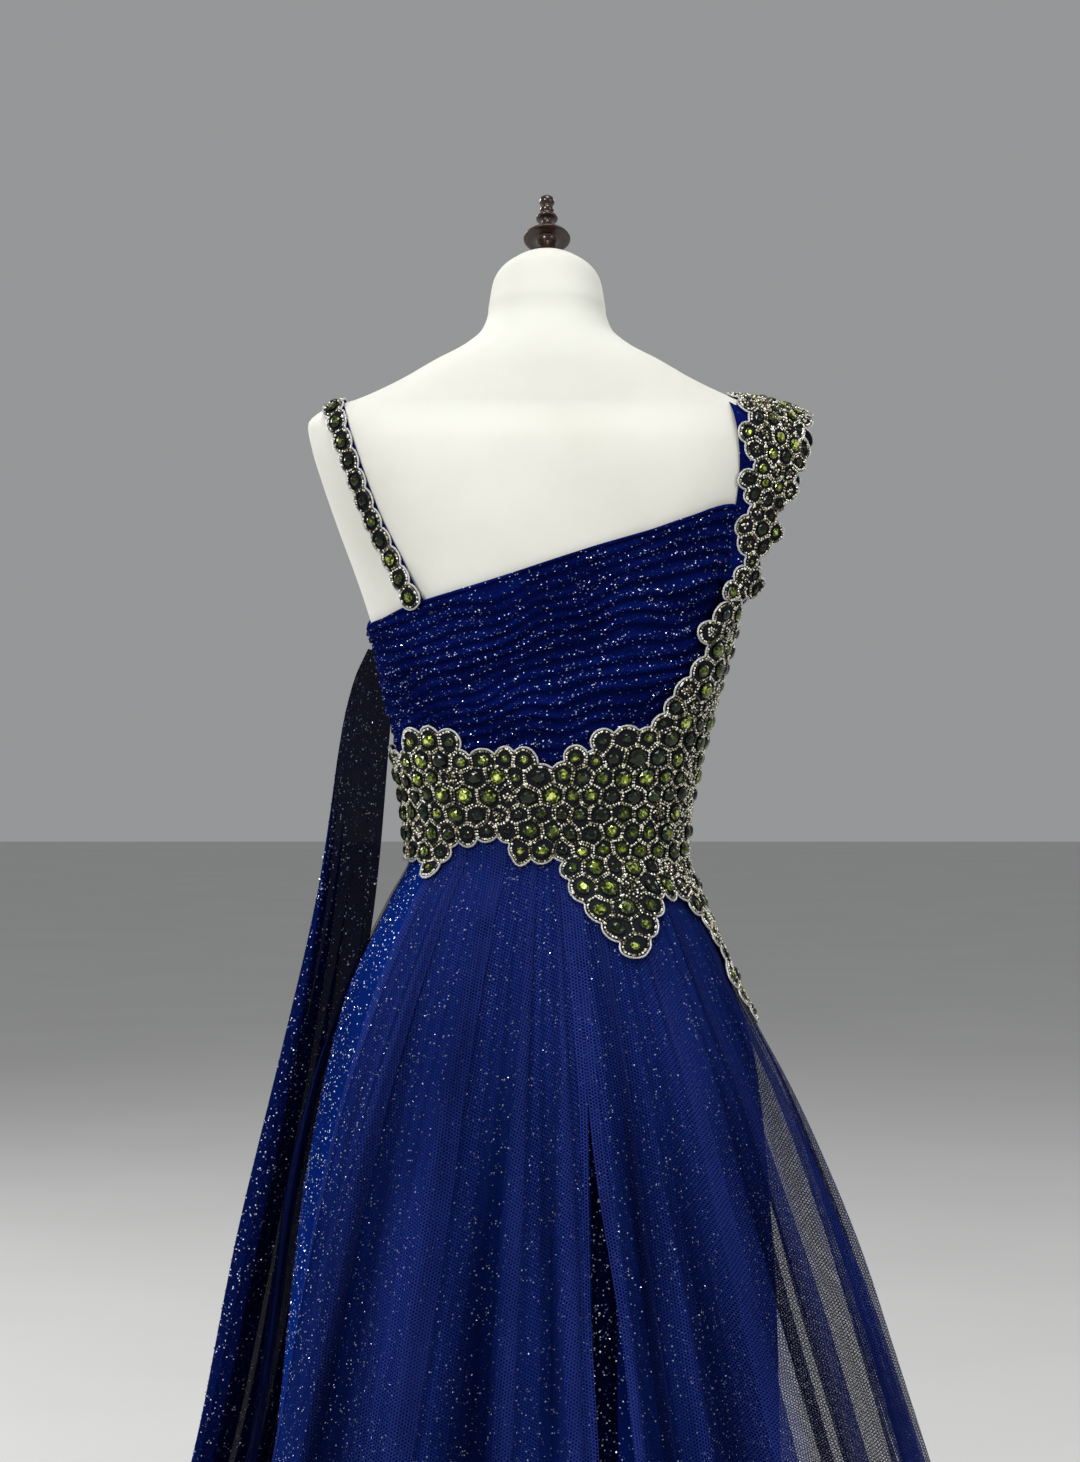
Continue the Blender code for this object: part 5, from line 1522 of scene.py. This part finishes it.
strap_rule = run(strap_middle(strap_shares)[None], 1)[0]
STRAP_ROWS = 2 * int(strap_rule[-1] / STRAP_ROW / 2)
STRAP_START = (strap_rule[-1] - (STRAP_ROWS - 1) * STRAP_ROW) / 2


def strap_width(q):
    share = np.interp(q, strap_rule, strap_shares)
    return np.linalg.norm(strap_outer(share) - strap_inner(share), axis=-1)


def strap_corner(key):
    return scattered(key, STRAP_PITCH, STRAP_ROW, STRAP_START, tuple)


def strap_place(p, q, out):
    share = np.interp(q, strap_rule, strap_shares)
    across = unit(strap_outer(share) - strap_inner(share))
    ahead = strap_middle(share + 0.01) - strap_middle(share - 0.01)
    crown = STRAP_CROWN * np.maximum(0, 1 - (2 * p / strap_width(q)) ** 2)
    over = 1 - ease_in(np.minimum(q, strap_rule[-1] - q) / STRAP_END_REACH)
    lift = (STRAP_LIFT + STRAP_END_LIFT * over + crown + out)[..., None]
    return strap_middle(share) + across * p[..., None] + unit(np.cross(across, ahead)) * lift


down = np.linspace(strap_rule[-1] - LINING_END, LINING_END, 90)
width = strap_width(down)[:, None]
across = np.linspace(0, 1, 13) * (width - LINING_INSET) - width / 2
strip = strap_place(*np.broadcast_arrays(across - LINING_SHOWS, down[:, None], -LINING_DEPTH))
lining = settle(spread("wide_strap_lining", strip, pleated_tulle), "pleated_tulle")

groups = {}
for side, low, high in (("back", 0, STRAP_ROWS // 2), ("front", STRAP_ROWS // 2, STRAP_ROWS)):
    cells = {}
    for j in range(low, high):
        reach = strap_width(STRAP_START + j * STRAP_ROW) / 2 - STRAP_MARGIN
        for i in range(-4, 5):
            if abs(i + (j % 2) / 2) * STRAP_PITCH < reach:
                cells[i, j] = cell_corners(i, j)
    groups[f"beaded_strap_{side}"] = joined(cells)
stones, under = dict.fromkeys(groups, WIDE_STONES), ["dress_form_torso"]
sew_beadwork("wide_strap", groups, strap_corner, strap_place, tuple, 6, stones, under, WIDE_INSIDE)


# The narrow strap. One row of larger crystals over the wearer's left shoulder, each in
# its own ring of seed beads on a thin tulle tape.

NARROW_CELL = 0.0165
NARROW_WAIST = 0.0056
NARROW_BELLY = 0.0092
NARROW_STEPS = 40
NARROW_SHOULDER_Z = 1.4025
NARROW_LEVEL_Z = 1.3995
NARROW_LIFT = 0.0012
NARROW_END_LIFT = 0.0074
NARROW_END_REACH = 0.050
NARROW_FRONT_Z = 1.254
NARROW_INSIDE = (-0.05, 0.0, 1.20)
TAPE_EDGES = (-0.0062, 0.0092)
TAPE_DEPTH = 0.0006

StrapLine = namedtuple("StrapLine", "z x")
NARROW_STRAP = table(
    StrapLine,
    (1.238, -0.101), (1.266, -0.118), (1.307, -0.139), (1.357, -0.158), (1.398, -0.172),
)

narrow_x = curve(NARROW_STRAP, "z", "x")
legs, normals = [], []
for side, low in ((-1, NARROW_STRAP[0].z), (1, NARROW_FRONT_Z)):
    climb = np.sin(np.linspace(0, 1, NARROW_STEPS + 1) * math.pi / 2)
    z = between(low, NARROW_SHOULDER_Z, climb)
    leg = np.array([on_figure(float(narrow_x(height)), height, side) for height in z])
    angle = np.degrees(np.arctan2(leg[:, 0], -leg[:, 1]))
    legs.append(leg)
    normals.append(FIGURE_BODY.normal(angle, np.minimum(z, NARROW_LEVEL_Z)))
narrow_path = np.concatenate([legs[0], legs[1][-2::-1]])
narrow_out = np.concatenate([normals[0], normals[1][-2::-1]])
narrow_rule = run(narrow_path[None], 1)[0]
NARROW_COUNT = 2 * int(narrow_rule[-1] / NARROW_CELL / 2)


def narrow_corner(key):
    side, station = key
    half = NARROW_BELLY if station % 2 else NARROW_WAIST
    return side * half, station / 2 * narrow_rule[-1] / NARROW_COUNT


def narrow_place(p, q, out):
    inside = np.clip(q, 0, narrow_rule[-1])
    i = np.clip(np.searchsorted(narrow_rule, inside) - 1, 0, len(narrow_rule) - 2)
    here, there = narrow_path[i], narrow_path[i + 1]
    part = ((q - narrow_rule[i]) / (narrow_rule[i + 1] - narrow_rule[i]))[..., None]
    normal = unit(between(narrow_out[i], narrow_out[i + 1], np.clip(part, 0, 1)))
    across = unit(np.cross(there - here, normal))
    over = 1 - ease_in(np.minimum(inside, narrow_rule[-1] - inside) / NARROW_END_REACH)
    lift = between(NARROW_LIFT, NARROW_END_LIFT, over) + out
    return between(here, there, part) + across * p[..., None] + normal * lift[..., None]


across = np.linspace(*TAPE_EDGES, 9)[None, :]
tape = narrow_place(*np.broadcast_arrays(across, narrow_rule[:, None], -TAPE_DEPTH))[::-1]
lining = settle(spread("narrow_strap_tape", tape, pleated_tulle), "pleated_tulle")

groups = {}
for side, low, high in (("back", 0, NARROW_COUNT // 2), ("front", NARROW_COUNT // 2, NARROW_COUNT)):
    cells = groups[f"crystal_strap_{side}"] = {}
    for k in range(low, high):
        stations = (2 * k, 2 * k + 1, 2 * k + 2)
        cells[k] = [(-1, station) for station in stations]
        cells[k] += [(1, station) for station in stations[::-1]]
stones = dict.fromkeys(groups, 1.0)
sew_beadwork(
    "narrow_strap", groups, narrow_corner, narrow_place, tuple, 7, stones, under, NARROW_INSIDE
)
